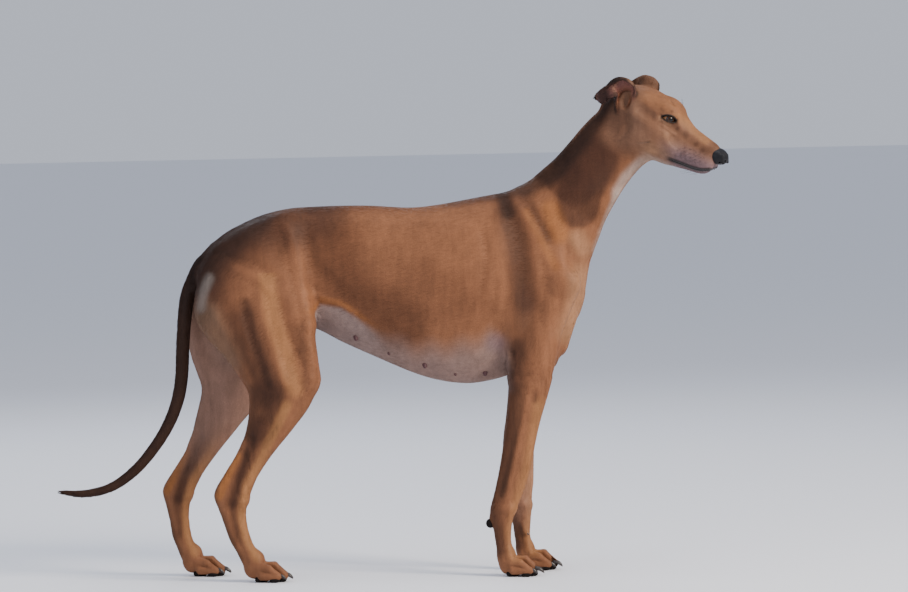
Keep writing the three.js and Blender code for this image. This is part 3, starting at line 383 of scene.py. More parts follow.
# What shows under the short coat, as lines in side view: corners, half width, and height of the
# ridge, or depth of the groove where it is negative. Those of the trunk are alike on both sides.
TRUNK_LINES = [
    ([(229, 672), (260, 630), (291, 588), (306, 548)], 22, 2.2),  # spine of the blade
    ([(247, 680), (270, 642), (289, 606), (301, 560)], 15, -2.0),
    ([(292, 668), (306, 620), (312, 566)], 13, 1.3),  # edge of the neck's muscle
    ([(216, 668), (232, 626), (240, 571), (245, 498), (241, 444), (231, 404)], 26, -4.0),
    ([(196, 636), (202, 581), (203, 526), (194, 494)], 16, 1.6),  # back edge of the blade
    ([(171, 624), (178, 576), (164, 522)], 10, -1.5),
    ([(291, 497), (282, 425), (268, 385)], 14, 2.0),  # front of the three-headed muscle
    ([(317, 446), (307, 406), (292, 366)], 8, -2.2),  # between arm and breast
    ([(218, 408), (219, 382), (208, 362)], 8, -2.5),  # round the elbow
    ([(230, 367), (252, 363), (273, 356)], 8, -2.2),
    ([(-185, 646), (-170, 598), (-160, 543), (-151, 503), (-147, 466)], 15, 3.0),  # edge of the thigh
    ([(-147, 616), (-137, 570), (-110, 545), (-75, 515)], 20, -2.4),  # hollow of the flank
    ([(-145, 522), (-124, 514), (-92, 500), (-62, 480)], 10, 2.2),  # fold of the flank
    ([(-281, 571), (-245, 556), (-216, 530)], 12, 2.0),  # top of the thigh's back muscle
    ([(-288, 590), (-241, 578), (-203, 551)], 13, -2.0),
]
RIB_COUNT, FIRST_RIB, RIB_PITCH = 8, 62, 20.4
for rib in range(RIB_COUNT):
    rib_x = FIRST_RIB + RIB_PITCH * rib
    rib_rise = 0.3 + 0.05 * (rib * 3 % 5)  # no two neighbours alike
    TRUNK_LINES.append(([(rib_x, 545), (rib_x - 8, 490), (rib_x - 28, 422)], 10, rib_rise))
HIND_LINES = [
    ([(-199, 511), (-185, 456), (-170, 412)], 9, -1.8),  # between the thigh's front muscles
    ([(-235, 527), (-225, 472), (-208, 417), (-195, 362)], 13, 2.2),
    ([(-264, 509), (-253, 454), (-237, 399), (-224, 359)], 13, -3.0),
    ([(-323, 503), (-293, 448), (-272, 396), (-260, 367)], 14, 2.0),  # back muscle
    ([(-161, 401), (-153, 365)], 8, -1.6),  # beside the kneecap
    ([(-144, 424), (-138, 386)], 9, 1.5),
    ([(-236, 370), (-232, 297)], 20, -2.4),  # hollow behind the knee
    ([(-171, 354), (-192, 304), (-224, 246)], 12, 1.8),  # front of the shin
    ([(-214, 282), (-246, 241), (-263, 212)], 8, -2.0),
    ([(-262, 261), (-261, 232), (-256, 196), (-262, 178)], 4, 1.2),  # vein down the shin
    ([(-270, 254), (-294, 215), (-317, 173)], 8, 1.6),  # heel's tendon
    ([(-266, 232), (-284, 193), (-297, 145)], 9, -2.6),
    ([(-262, 199), (-277, 154), (-282, 109), (-266, 63)], 8, 1.3),  # front of the hock
    ([(-298, 135), (-289, 91), (-270, 39)], 7, -1.4),
]
FORE_LINES = [
    ([(246, 356), (233, 280), (214, 208), (201, 142)], 8, 1.5),  # ridge down the forearm
    ([(238, 336), (224, 275), (209, 215), (189, 150)], 9, -2.4),
    ([(255, 341), (260, 320)], 7, -1.6),
    ([(249, 243), (239, 189), (223, 135)], 4, 1.1),  # vein
    ([(207, 126), (202, 80), (208, 33)], 5, 1.2),  # tendon of the pastern
    ([(194, 113), (191, 77), (197, 33)], 5, -1.1),
]


def off_line(x, z, line):
    """Least distance in side view from each point to the line through the corners."""
    best = np.full(len(x), 1e9)
    for (ax, az), (bx, bz) in zip(line[:-1], line[1:]):
        dx, dz = bx - ax, bz - az
        t = np.clip(((x - ax) * dx + (z - az) * dz) / (dx * dx + dz * dz), 0, 1)
        best = np.minimum(best, np.hypot(x - ax - t * dx, z - az - t * dz))
    return best


def near_line(x, z, line, room):
    """Which points are no further than room from the line's box, and how far they are from the line."""
    low, high = np.min(line, axis=0) - room, np.max(line, axis=0) + room
    near = np.flatnonzero((x > low[0]) & (x < high[0]))
    near = near[(z[near] > low[1]) & (z[near] < high[1])]
    return near, off_line(x[near], z[near], line)


def relief(x, z, lines):
    """The lines' heights, each times (1 - (distance / half width) squared) squared, added up."""
    total = np.zeros(len(x))
    for line, width, height in lines:
        near, gap = near_line(x, z, line, width)
        share = np.minimum(gap / width, 1)
        total[near] += height * (1 - share * share) ** 2
    return total


def ramp(value, low, high):
    """0 up to low, 1 from high on, and a smooth step between."""
    t = np.clip((value - low) / (high - low), 0, 1)
    return t * t * (3 - 2 * t)


def muscles(p):
    """How far the surface is raised, on the outer side of the trunk and of each leg."""
    x, y, z = np.ascontiguousarray(p.T)
    out = np.abs(y)
    total = relief(x, z, TRUNK_LINES) * ramp(out, 6, 26)
    for (near, q), lines, middle in zip(near_legs(p), (HIND_LINES, FORE_LINES), (HIND_MIDDLE, FORE_MIDDLE)):
        outside = q[:, 1] - read(middle, q[:, 2])[:, 1]
        both = 1 - ramp(q[:, 2], 200, 300)  # the shank and foot have them on their inner side too
        total[near] += relief(q[:, 0], q[:, 2], lines) * np.maximum(ramp(outside, -6, 6), both)
    return total


TAIL_POINTS = [
    [-318, 594], [-341, 573], [-358, 547], [-372, 510], [-380, 440], [-384, 375], [-392, 331],
    [-409, 288], [-436, 245], [-473, 203], [-517, 173], [-566, 162], [-617, 166],
]
# Share of its length, and radius there.
TAIL_RADIUS = [
    [0, 17], [0.06, 16], [0.12, 14.5], [0.25, 13], [0.5, 12], [0.75, 10], [0.92, 7.5], [0.985, 4.5], [1, 2],
]
tail_rows = np.array([[i, *point] for i, point in enumerate(TAIL_POINTS)], float)
tail_line = profile(tail_rows, 0.1)[2][:, :2]
tail_run = np.concatenate([[0], np.cumsum(np.hypot(*np.diff(tail_line, axis=0).T))])
tail_share = tail_run / tail_run[-1]
tail_radius = np.interp(tail_share, *np.array(TAIL_RADIUS).T)


def tail(p):
    """Least distance to the balls strung along the tail's curve, read between the nearest ones."""
    d = np.full(len(p), FAR)
    near = np.flatnonzero((p[:, 0] < -262) & (np.abs(p[:, 1]) < 60))
    q = p[near]
    flat = (q[:, None, [0, 2]] - tail_line[None]) ** 2
    d[near] = (np.sqrt(flat.sum(axis=2) + q[:, 1:2] ** 2) - tail_radius).min(axis=1)
    return d


# The head has its own frame: x from the nape to the nose, y to its left and z up.
def turn(axis, degrees):
    """A rotation about x, y or z."""
    c, s = np.cos(np.radians(degrees)), np.sin(np.radians(degrees))
    i, j = [(1, 2), (2, 0), (0, 1)][axis]
    m = np.eye(3)
    m[i, i] = m[j, j] = c
    m[i, j], m[j, i] = -s, s
    return m


HEAD_ORIGIN = np.array([410.0, 0, 861])
HEAD_TURN = turn(2, -20) @ turn(1, 25.8) @ turn(0, 4)


def in_head(p):
    """Points of the whole animal in the head's frame."""
    return (p - HEAD_ORIGIN) @ HEAD_TURN


def from_head(p):
    """Points in the head's frame, taken to the whole animal."""
    return p @ HEAD_TURN.T + HEAD_ORIGIN


EYE = np.array([118.8, 24.6, 17])
EYE_RADIUS = 12.4
skull = barrel(
    LEVEL,
    [
        [-8, -24, 4, 0, 18, 0],
        [8, -46, 24, 0, 33, 0.1],
        [26, -58, 41, 0, 40, 0.12],
        [47, -63, 46, 0, 43.5, 0.1],
        [74, -66, 48.6, 0, 44, 0.05],
        [96, -68, 49.3, 0, 43, 0],
        [114, -69, 46, 0, 40.5, -0.02],
        [132, -68, 38.6, 0, 36, -0.05],
        [148, -66, 28.2, 0, 31.5, -0.1],
        [164, -63.5, 20, 0, 28, -0.14],
        [182, -60, 15.5, 0, 25.5, -0.16],
        [206, -56, 10.9, 0, 22.5, -0.16],
        [216, -51.5, 8.5, 0, 20, -0.15],
        [223, -43, 5, 0, 17, -0.1],
        [228, -32, 1, 0, 13.5, 0],
        [231, -24, -4, 0, 9, 0],
    ],
    2.2,
    6,
)
SKULL = [
    strap([62, 38, 0], [126, 33, -12], [9, 9], [8, 7], 12),  # cheek bone
    mass([112, 20, 33], [22, 12, 12], 12, tip=-18),  # brow
    mass([62, 24, 22], [38, 18, 22], 14),  # temple
    mass([84, 31, -36], [34, 12, 25], 14, tip=10),  # cheek muscle
    mass([198, 15, -34], [31, 8.5, 14], 10, tip=3),  # upper lip
    mass([133, 37, 11], [15, 8, 10], 9, True, tip=-12),  # orbit
    strap([150, 36, -14], [190, 32, -16], [8, 4], [6, 4], 10, True),
    mass([35, 45, 17], [10, 13, 16], 4, True, tip=20),  # bowl of the ear
    strap([92, 45, 12], [70, 47, 16], [6, 5], [6, 4], 9, True),  # hollow behind the eye
    strap([118, 36, 4], [143, 29, -3], [1.6, 1.8], [1.4, 1.8], 6),  # fold under the eye
    strap([106, 31, 31], [124, 24, 32], [3, 3], [3, 3], 6),  # edge of the brow
    mass([118, 25, 35], [4, 4, 3], 4),  # wart over the eye
    strap([112, 38, -22], [150, 31, -32], [6, 1.8], [5, 1.8], 14),  # muscle to the lip
    strap([60, 44, -28], [54, 42, -48], [5, 4], [5, 4], 8, True),  # behind the cheek
    mass([108, 41.5, -32], [3, 2, 3], 2.5),  # wart with its whiskers
]


def frame_of_eye():
    """Columns: along the opening towards the nose, up, and the way that the left eye looks."""
    look = np.array([0.46, 0.87, 0.2]) / np.linalg.norm([0.46, 0.87, 0.2])
    level = np.cross(look, [0, 0, 1.0])
    level /= np.linalg.norm(level)
    upward = np.cross(level, look)
    c, s = np.cos(EYE_SLANT), np.sin(EYE_SLANT)
    return np.column_stack([level * c + upward * s, upward * c - level * s, look])


EYE_SLANT = np.radians(4)  # the opening rises towards the nose
EYE_FRAME = frame_of_eye()
OPENING = (11.8, 5.3, 4.3)  # half length, height over the corners and depth under them


def at_eye(q):
    """Points in the head's frame, from the eye on their side: along its opening, up and outwards."""
    return ((folded(q) - EYE) @ EYE_FRAME).T


def from_eye(p, side):
    """Points in the eye's own frame, taken to the whole animal, on one side."""
    return from_head((p @ EYE_FRAME.T + EYE) * [1, side, 1])


def almond(along, up):
    """Below 0 inside the opening: the height's share of its limit, less one, in millimetres."""
    half, over, under = OPENING
    limit = np.maximum(1 - (along / half) ** 2, 0) ** 0.8
    return np.maximum(np.abs(up) - limit * np.where(up > 0, over, under), np.abs(along) - half)


def head(p, eyes_open=True):
    """Both halves of the head from one set of forms; the lips overhang the jaw a little."""
    q = folded(in_head(p))
    d = build_up(skull(q), q, SKULL)
    socket = np.sqrt(((q - EYE) ** 2).sum(axis=1)) - (EYE_RADIUS + LID + COAT_DEPTH)
    d = merged(d, socket, 6)
    if eyes_open:
        along, up, look = at_eye(q)
        hole = np.maximum(almond(along, up), 2.0 - look)
        d = -merged(-d, hole, 0.6)
    drop = read(mouth_line, q[:, 0])[:, 0] - q[:, 2]
    under = np.clip(drop / 3, 0, 1) * np.clip((q[:, 0] - 143) / 12, 0, 1) * np.clip((30 - drop) / 14, 0, 1)
    groove = ramp(q[:, 0], 146, 158) * np.maximum(1 - (drop / 2.6) ** 2, 0) ** 2
    return d + 1.3 * under + 2.2 * groove


LID = 0.5  # the skin round the eye lies this far over the ball
MOUTH = [[147, -49], [156, -48.5], [176, -47], [195, -45.5], [211, -42], [223, -36]]
mouth_line = profile([[s, z, z] for s, z in MOUTH])

# Each ear is a leaf rolled into a cup that opens sideways, with its upper half folded back. Rows run
# from the front edge over the back of the cup to the rear edge, and from the root to the tip.
EAR_ROWS = np.array(
    [
        [[47, 33, 4], [41, 22, 13], [29, 17, 13], [22, 24, 2], [29, 35, -10]],
        [[49, 37, 24], [40, 28, 33], [22, 25, 29], [15, 33, 14], [22, 44, 4]],
        [[41, 40, 46], [30, 36, 51], [13, 34, 47], [9, 39, 30], [19, 48, 20]],
        [[16, 46, 49], [7, 43, 47], [-2, 40, 37], [0, 43, 23], [11, 50, 12]],
        [[-8, 47, 22], [-9, 45, 15], [-10, 44, 9], [-7, 46, 4], [1, 49, -3]],
        [[-17, 46, 5], [-17, 45, 2], [-16, 45, 0], [-14, 46, -2], [-10, 47, -4]],
    ],
    float,
)
# the left ear is held further forward
EAR_LIFT = np.array([[5, 0, 2], [14.5, 0, 6], [16, 0, 8], [14.5, 0, 1], [9.5, 0, 1], [8, 0, 1]])
EAR_HALF = 2.1 + COAT_DEPTH  # half its thickness, with the hair on it
EAR_GRID = (45, 37)


def ear_leaf(side):
    """The leaf's points: a smooth curve down each column of the net, then one across those."""
    rows = EAR_ROWS + (EAR_LIFT[:, None] if side > 0 else 0)
    steps = np.linspace(0, 1, EAR_GRID[0]) * (len(rows) - 1)
    down = read(profile([[i, *row.ravel()] for i, row in enumerate(rows)], 0.02), steps)[:, :15]
    across = np.linspace(0, 4, EAR_GRID[1])
    net = down.reshape(len(steps), 5, 3).transpose(1, 0, 2).reshape(5, -1)
    leaf = read(profile([[i, *row] for i, row in enumerate(net)], 0.02), across)[:, :-1]
    return leaf.reshape(len(across), len(steps), 3) * [1, side, 1]


ears = {side: ear_leaf(side).reshape(-1, 3) for side in (-1, 1)}


def ear_net(side):
    """The leaf's points by their place across and down it."""
    return ears[side].reshape(EAR_GRID[1], EAR_GRID[0], 3)


def ear_place(index):
    """Where points of the leaf lie: from 0 at its front edge to 1 at its rear one, and root to tip."""
    return index // EAR_GRID[0] / (EAR_GRID[1] - 1), index % EAR_GRID[0] / (EAR_GRID[0] - 1)


def nearest_on_ear(q, side):
    """For points in the head's frame, the distance to the ear's leaf and which of its points is nearest."""
    leaf = ears[side].astype(np.float32)
    d, index = np.full(len(q), 40.0), np.zeros(len(q), int)
    low, high = leaf.min(axis=0) - 8, leaf.max(axis=0) + 8
    near = np.flatnonzero(((q > low) & (q < high)).all(axis=1))
    length = (leaf**2).sum(axis=1)
    for part in np.array_split(near, max(1, len(near) // 2000)):
        if len(part):
            a = q[part].astype(np.float32)
            gap = length - 2 * (a @ leaf.T)
            index[part] = gap.argmin(axis=1)
            d[part] = np.sqrt(((q[part] - ears[side][index[part]]) ** 2).sum(axis=1))
    return d, index


def ear(p, side):
    """Distance to the nearest point of the leaf, less half its thickness."""
    return nearest_on_ear(in_head(p), side)[0] - EAR_HALF


# How softly each form runs into the trunk, in millimetres.
NECK_BLEND, HEAD_BLEND, EAR_BLEND, TAIL_BLEND = 26, 21, 3.5, 12
SHOULDER_BLEND, RUMP_BLEND, FORE_LEG_BLEND = 20, 22, 14
THIGH_BLEND, SHANK_BLEND = 22.0, 10.0  # over and under the flank


def flesh(p, eyes_open=True):
    """The whole animal, bare: negative inside, and nearly a distance close to the surface."""
    q = folded(p)
    x, z = np.ascontiguousarray(p[:, 0]), np.ascontiguousarray(p[:, 2])
    d = trunk(p)
    near = np.flatnonzero(x > 120)
    d[near] = merged(d[near], neck(p[near]), NECK_BLEND)
    near = np.flatnonzero((z > 640) & (x > 310))
    d[near] = merged(d[near], head(p[near], eyes_open), HEAD_BLEND)
    front, rear = np.flatnonzero(x > 0), np.flatnonzero(x < -60)
    for near, forms, soft in ((front, SHOULDER, SHOULDER_BLEND), (rear, RUMP, RUMP_BLEND)):
        d[near] = merged(d[near], build_up(np.full(len(near), FAR), q[near], forms), soft)
    near = np.flatnonzero(x < -262)
    d[near] = merged(d[near], tail(p[near]), TAIL_BLEND)
    near = np.flatnonzero((x < -60) & (z < 690))
    soft = np.where(z[near] > 420, THIGH_BLEND, SHANK_BLEND)
    d[near] = merged(d[near], hind_leg(p[near]), soft)
    near = np.flatnonzero((x > 130) & (x < 350) & (z < 520))
    d[near] = merged(d[near], fore_leg(p[near]), FORE_LEG_BLEND)
    near = np.flatnonzero((np.abs(d) < 16) & (x > -380) & (x < 360) & (z < 700))
    d[near] -= muscles(p[near])
    near = np.flatnonzero((z > 815) & (x > 350))
    for side in (-1, 1):
        d[near] = merged(d[near], ear(p[near], side), EAR_BLEND)
    return d


def slope_of(field, p, step=0.4):
    """The field and its gradient, by differences over one step forward each way."""
    here = field(p)
    return here, np.column_stack([(field(p + np.eye(3)[k] * step) - here) / step for k in range(3)])


OFF_THE_MIDDLE = 0.0137  # keeps the boxes' sides off planes where a form is flat
POLISH_ROUNDS = 3


def wrapped(field, cell, low, high, wanted, depth, top=32):
    """A closed surface where the field is -depth, as points and faces.

    Boxes near the surface are halved until each is as small as wanted(p) asks, in cells. Every edge
    of a box whose ends differ in sign makes a face of the boxes round it, and each box's point is
    brought onto the surface along the gradient, smoothed among its neighbours and brought there again."""
    low = np.array(low, float) - OFF_THE_MIDDLE
    count = np.ceil((np.array(high) - low) / (cell * top)).astype(int)
    start = np.stack(np.meshgrid(*map(np.arange, count), indexing="ij"), -1).reshape(-1, 3) * top
    leaves, sizes, size = [], [], top
    while len(start):
        centre = low + cell * (start + size / 2)
        near = np.abs(field(centre) + depth) < size * cell * 1.3 + (8 if size > 4 else 1.5)
        start, centre = start[near], centre[near]
        done = wanted(centre) >= size if size > 1 else np.ones(len(start), bool)
        leaves.append(start[done])
        sizes.append(np.full(done.sum(), size))
        half = size // 2
        corners = np.array([[i, j, k] for i in (0, 1) for j in (0, 1) for k in (0, 1)])
        start = (start[~done][:, None] + corners * half).reshape(-1, 3)
        size = half
    leaves, sizes = np.concatenate(leaves), np.concatenate(sizes)
    side = (count * top + 1).astype(np.int64)

    def key(at):
        return (at[..., 0] * side[1] + at[..., 1]) * side[2] + at[..., 2]

    # the field at every corner, once
    corner = leaves[:, None] + corners * sizes[:, None, None]
    unique, which = np.unique(key(corner), return_inverse=True)
    at = np.column_stack([unique // (side[1] * side[2]), unique // side[2] % side[1], unique % side[2]])
    inside = (field(low + cell * at) + depth < 0)[which].reshape(-1, 8)

    # every box by its size and place
    levels = {}
    for size in np.unique(sizes):
        mine = np.flatnonzero(sizes == size)
        order = np.argsort(key(leaves[mine]))
        levels[size] = key(leaves[mine])[order], mine[order]

    def box_at(place):
        found = np.full(len(place), -1)
        for size, (keys, mine) in levels.items():
            k = key(place // size * size)
            i = np.clip(np.searchsorted(keys, k), 0, len(keys) - 1)
            hit = (found < 0) & (keys[i] == k)
            found[hit] = mine[i[hit]]
        return found

    faces = []
    for axis in range(3):
        b, c = (axis + 1) % 3, (axis + 2) % 3
        for ib in (0, 1):
            for ic in (0, 1):
                first = np.zeros(3, int)
                first[b], first[c] = ib, ic
                last = first + np.eye(3, dtype=int)[axis]
                i, j = first @ [4, 2, 1], last @ [4, 2, 1]
                mine = np.flatnonzero(inside[:, i] != inside[:, j])
                size = sizes[mine]
                begin = leaves[mine] + first * size[:, None]
                middle = begin + np.eye(3, dtype=int)[axis] * (size // 2)[:, None]
                ring = []
                for sb, sc in ((-1, -1), (0, -1), (0, 0), (-1, 0)):
                    place = middle.copy()
                    place[:, b] += sb
                    place[:, c] += sc
                    ring.append(box_at(place))
                ring = np.column_stack(ring)
                whole = (ring >= 0).all(axis=1) & (sizes[ring] >= size[:, None]).all(axis=1)
                ring = np.where(inside[mine, i][:, None], ring, ring[:, ::-1])
                faces.append(np.column_stack([ring, key(begin) * 3 + axis])[whole])
    faces = np.concatenate(faces)
    faces = faces[np.unique(faces[:, 4], return_index=True)[1], :4]
    used, faces = np.unique(faces, return_inverse=True)
    faces = faces.reshape(-1, 4)
    points = low + cell * (leaves[used] + sizes[used, None] / 2)
    room = cell * sizes[used, None] * 0.9
    pairs = np.concatenate([faces[:, [k, (k + 1) % 4]] for k in range(4)])
    pairs = np.unique(np.sort(pairs[pairs[:, 0] != pairs[:, 1]], axis=1), axis=0)
    pairs = np.concatenate([pairs, pairs[:, ::-1]])
    degree = np.bincount(pairs[:, 0], minlength=len(points))[:, None]
    for step in range(POLISH_ROUNDS):
        here, gradient = slope_of(field, points)
        size = (gradient**2).sum(axis=1)[:, None]
        points -= np.clip((here + depth)[:, None] * gradient / np.maximum(size, 0.05), -room, room)
        if step < POLISH_ROUNDS - 1:
            from_one, to_other = pairs.T
            total = [np.bincount(from_one, points[to_other, k], len(points)) for k in range(3)]
            points += 0.6 * (np.column_stack(total) / degree - points)
    return points, faces, unit(gradient)


def into_mesh(name, points, faces):
    """A mesh object at the origin, from points in millimetres and faces; repeated corners make triangles."""
    points, faces = np.asarray(points, float), np.asarray(faces)
    if faces.shape[1] == 4:
        keep = np.column_stack([faces[:, k] != faces[:, k - 1] for k in range(4)])
        counts = keep.sum(axis=1)
        fit = counts >= 3
        loops, counts = faces[fit][keep[fit]], counts[fit]
    else:
        loops, counts = faces.ravel(), np.full(len(faces), 3)
    mesh = bpy.data.meshes.new(name)
    mesh.vertices.add(len(points))
    mesh.vertices.foreach_set("co", (points * 0.001).astype(np.float32).ravel())
    mesh.loops.add(len(loops))
    mesh.loops.foreach_set("vertex_index", loops.astype(np.int32))
    mesh.polygons.add(len(counts))
    mesh.polygons.foreach_set("loop_start", np.concatenate([[0], np.cumsum(counts)[:-1]]).astype(np.int32))
    mesh.update(calc_edges=True)
    mesh.validate()
    mesh.shade_smooth()
    obj = bpy.data.objects.new(name, mesh)
    bpy.context.collection.objects.link(obj)
    return obj


def fineness(p):
    """How large a box may be, in cells: smallest on face, ears and toes, largest where all is smooth."""
    x, y, z = p.T
    q = in_head(p)
    size = np.full(len(p), 4)
    size[(z < 330) | (x < -350)] = 2
    size[(np.abs(y) > 38) & (x > 30) & (x < 325) & (z > 390) & (z < 690)] = 2
    size[(np.abs(y) > 40) & (x < -70) & (z < 640)] = 2
    size[(q[:, 0] > -15) & (z > 700)] = 2
    size[(q[:, 0] > 96) & (z > 640)] = 1
    over_ears = (q[:, 2] > -8 - q[:, 0] * 0.1) & (np.abs(q[:, 1]) > 8) & (z > 815)
    size[(q[:, 0] > -24) & (q[:, 0] < 66) & over_ears] = 1
    size[z < 36] = 1
    return size


CELL = 2.03
LOWEST_SKIN = 0.6  # over the floor
skin_points, skin_faces, skin_normals = wrapped(
    flesh, CELL, [-625, -115, -4], [625, 115, 915], fineness, COAT_DEPTH
)
skin_points[:, 2] = np.maximum(skin_points[:, 2], LOWEST_SKIN)
skin = into_mesh("skin", skin_points, skin_faces)
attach(skin, "root")
FLESH_NODES = ["chest", "loin", "rump", "neck", "head", "jaw", "tail_base", "tail_middle", "tail_tip"]
for side_name in ("right", "left"):
    for part in ("ear", "thigh", "shank", "hock", "hindpaw", "forearm", "pastern", "forepaw"):
        FLESH_NODES.append(part + "_" + side_name)
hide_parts(*FLESH_NODES)

# The markings, and painted light and shade
# A red fawn coat, sooty over the rump, tail, the neck's crest and the ears, greyer on the lips and pale on
# breast, throat and belly. Painted shade darkens the neck, the hollows and grooves of the muscles and the
# backs of the fore legs;
# painted light brightens the ridges and the fronts of the legs. Skin and hair take their colours from the
# same places on the body.


def hex_colour(text):
    """An sRGB hex value as linear red, green and blue."""
    c = np.array([int(text[i : i + 2], 16) for i in (1, 3, 5)]) / 255
    return np.where(c <= 0.04045, c / 12.92, ((c + 0.055) / 1.055) ** 2.4)


FAWN = "#7B5036"
PALE = "#A77F5E"
LILAC = "#83706A"
PATCH_GREY = "#857B73"
HEAD_TAN = "#7C5B47"
INNER = "#8B6C5E"
TAN = "#9A6B42"
GREY_BROWN = "#66503F"
SOOT = "#20130E"
BROWN = "#3A2217"
UMBER = "#52311F"
ASH = "#68555A"
THROAT_GREY = "#A4948A"
ORANGE = "#8F592D"
BLACK_SKIN = "#17120F"
DARKEST, PALEST = 0.003, 0.9  # of red, green and blue
EAR_PINK = "#7A504A"

# Colour, corners of a line in side view, how far it is full, where it ends, and how strong it is.
TRUNK_MARKS = [
    (BROWN, [(405, 850), (382, 795), (362, 748)], 42, 78, 0.8),  # painted shade over the neck
    (BROWN, [(372, 752), (346, 690), (342, 668)], 34, 46, 0.75),
    (BROWN, [(300, 738), (338, 700)], 28, 40, 0.7),
    (BROWN, [(247, 686), (266, 646), (284, 614)], 3, 22, 0.6),  # painted shade in the groove before the blade's spine
    # painted light along the edge of the neck's muscle and down the ridge of the blade's spine
    (ORANGE, [(292, 664), (308, 618)], 6, 26, 0.5),
    (ORANGE, [(248, 660), (280, 600), (300, 560)], 2, 12, 0.35),
    (SOOT, [(430, 905), (365, 805), (300, 726), (255, 704), (200, 698), (110, 690)], 5, 26, 0.75),  # crest
    (UMBER, [(205, 700), (60, 684), (-140, 680)], 3, 26, 0.7),  # along the back
    (UMBER, [(-100, 610), (-100, 565), (-70, 525), (20, 460)], 16, 74, 0.7),  # painted shade down the hollow of the flank and over the ribs
    (UMBER, [(60, 520), (140, 500)], 20, 80, 0.3),
    (BROWN, [(214, 668), (232, 600), (243, 500)], 10, 40, 0.7),  # painted shade in the hollow behind the blade
    (BROWN, [(243, 500), (234, 420), (226, 360)], 8, 42, 0.45),  # painted shade in the hollow behind the upper arm
    # painted shade at the top of the hollow behind the blade
    (SOOT, [(206, 692), (216, 660)], 5, 19, 0.7),
    (BROWN, [(-350, 540), (-330, 620), (-250, 650), (-150, 676)], 34, 100, 0.8),  # rump
    (SOOT, [(-350, 560), (-335, 600), (-290, 636), (-250, 660)], 22, 58, 0.7),
    (GREY_BROWN, [(-335, 480), (-315, 450), (-296, 410)], 12, 46, 0.65),  # seat
    (PATCH_GREY, [(-327, 552), (-338, 528), (-343, 500)], 2, 15, 0.5),  # beside the tail
    (PALE, [(346, 545), (340, 500), (322, 440)], 4, 34, 0.4),  # breast
    (PALE, [(340, 610), (352, 590)], 4, 26, 0.35),
    (THROAT_GREY, [(462, 744), (434, 716), (418, 690)], 6, 20, 0.62),  # throat
    (THROAT_GREY, [(418, 690), (400, 650), (376, 585)], 2, 13, 0.7),
]
# Where the pale belly begins: station and height.
BELLY_LINE = [
    (-141, 481), (-128, 501), (-90, 493), (-59, 472), (-24, 444),
    (11, 425), (61, 416), (138, 422), (177, 438), (202, 424),
]
# In the head's own side view, from the inner corner of the eye along the nose's bridge.
MUZZLE_MARKS = [
    (BROWN, [(134, 14), (146, 6), (160, 3)], 1, 9, 0.4),
    (BROWN, [(160, 3), (180, -2), (206, -6)], 2, 11, 0.4),
    (TAN, [(132, 28), (160, 18), (196, 8)], 2, 10, 0.4),
    (PALE, [(132, -10), (146, -18), (158, -20)], 1, 14, 0.12),
    (UMBER, [(104, 26), (98, 40), (84, 52)], 2, 12, 0.12),
    (HEAD_TAN, [(60, 10), (80, -20), (96, -40)], 4, 26, 0.3),
]
# Brown spots on the muzzle's sides: station, height, size and how strong.
MUZZLE_SPOTS = [(184, -4, 6, 0.6), (199, -9, 7, 0.5), (142, 9, 6, 0.55), (170, -28, 8, 0.35)]
# Warts with whiskers, over the eye and on the cheek, and the first root of each row of whiskers.
WARTS = [(121, 33), (108, -32)]
WHISKER_ROWS = [(168, -17), (160, -24), (166, -31), (158, -37)]
SHIN_FRONT = [(-190, 322), (-243, 219), (-266, 178), (-274, 144), (-277, 118), (-270, 83), (-252, 46)]
HIND_MARKS = [
    (BROWN, [(-272, 470), (-258, 430), (-240, 390), (-224, 350)], 10, 48, 0.75),  # painted shade in the hollow of the thigh
    (BROWN, [(-262, 505), (-248, 450), (-228, 390)], 3, 20, 0.45),
    # painted light on the ridge of the thigh's muscle, and painted shade in the groove in front of it
    (TAN, [(-222, 560), (-212, 480), (-190, 410), (-176, 350)], 5, 24, 0.45),
    (UMBER, [(-196, 540), (-180, 470), (-168, 420)], 2, 16, 0.35),
    (BROWN, [(-226, 338), (-228, 310), (-240, 280)], 18, 46, 0.7),  # painted shade in the hollow behind the knee and in the grooves down the shank
    (BROWN, [(-242, 290), (-254, 256), (-270, 212), (-286, 173), (-293, 145)], 3, 19, 0.75),
    (BROWN, [(-293, 145), (-289, 115), (-285, 80)], 1, 16, 0.5),
    (ORANGE, [(-318, 158), (-300, 198), (-284, 230)], 3, 12, 0.7),  # heel
    # painted light down the front of the shank
    (TAN, SHIN_FRONT, 2, 14, 0.6),
    (SOOT, [(-330, 150), (-318, 120), (-302, 82), (-284, 44)], 1, 12, 0.5),  # back of the foot
    (BROWN, [(-334, 156), (-318, 186), (-298, 224)], 1, 7, 0.6),
]
FORE_MARKS = [
    # painted shade down the back of the leg
    (BROWN, [(226, 420), (220, 345), (208, 244), (192, 167), (180, 129), (184, 90), (188, 50)], 4, 22, 0.7),
    (TAN, [(266, 310), (248, 210), (226, 135), (212, 80), (216, 40)], 4, 22, 0.5),  # painted light down the front of the leg
    # painted shade in the groove down the forearm and in the hollow before the elbow
    (SOOT, [(232, 330), (219, 260), (207, 200), (193, 150)], 1, 9, 0.3),
    (BROWN, [(258, 332), (256, 318)], 1, 8, 0.5),
]


def evenly(tone, points):
    """One colour for each of the points."""
    return np.tile(hex_colour(tone), (len(points), 1))


def paint(colour, tone, amount, near=slice(None)):
    """Brings the colours nearer to a tone, by an amount from 0 to 1 at each of the points near."""
    colour[near] += np.asarray(amount)[:, None] * (hex_colour(tone) - colour[near])


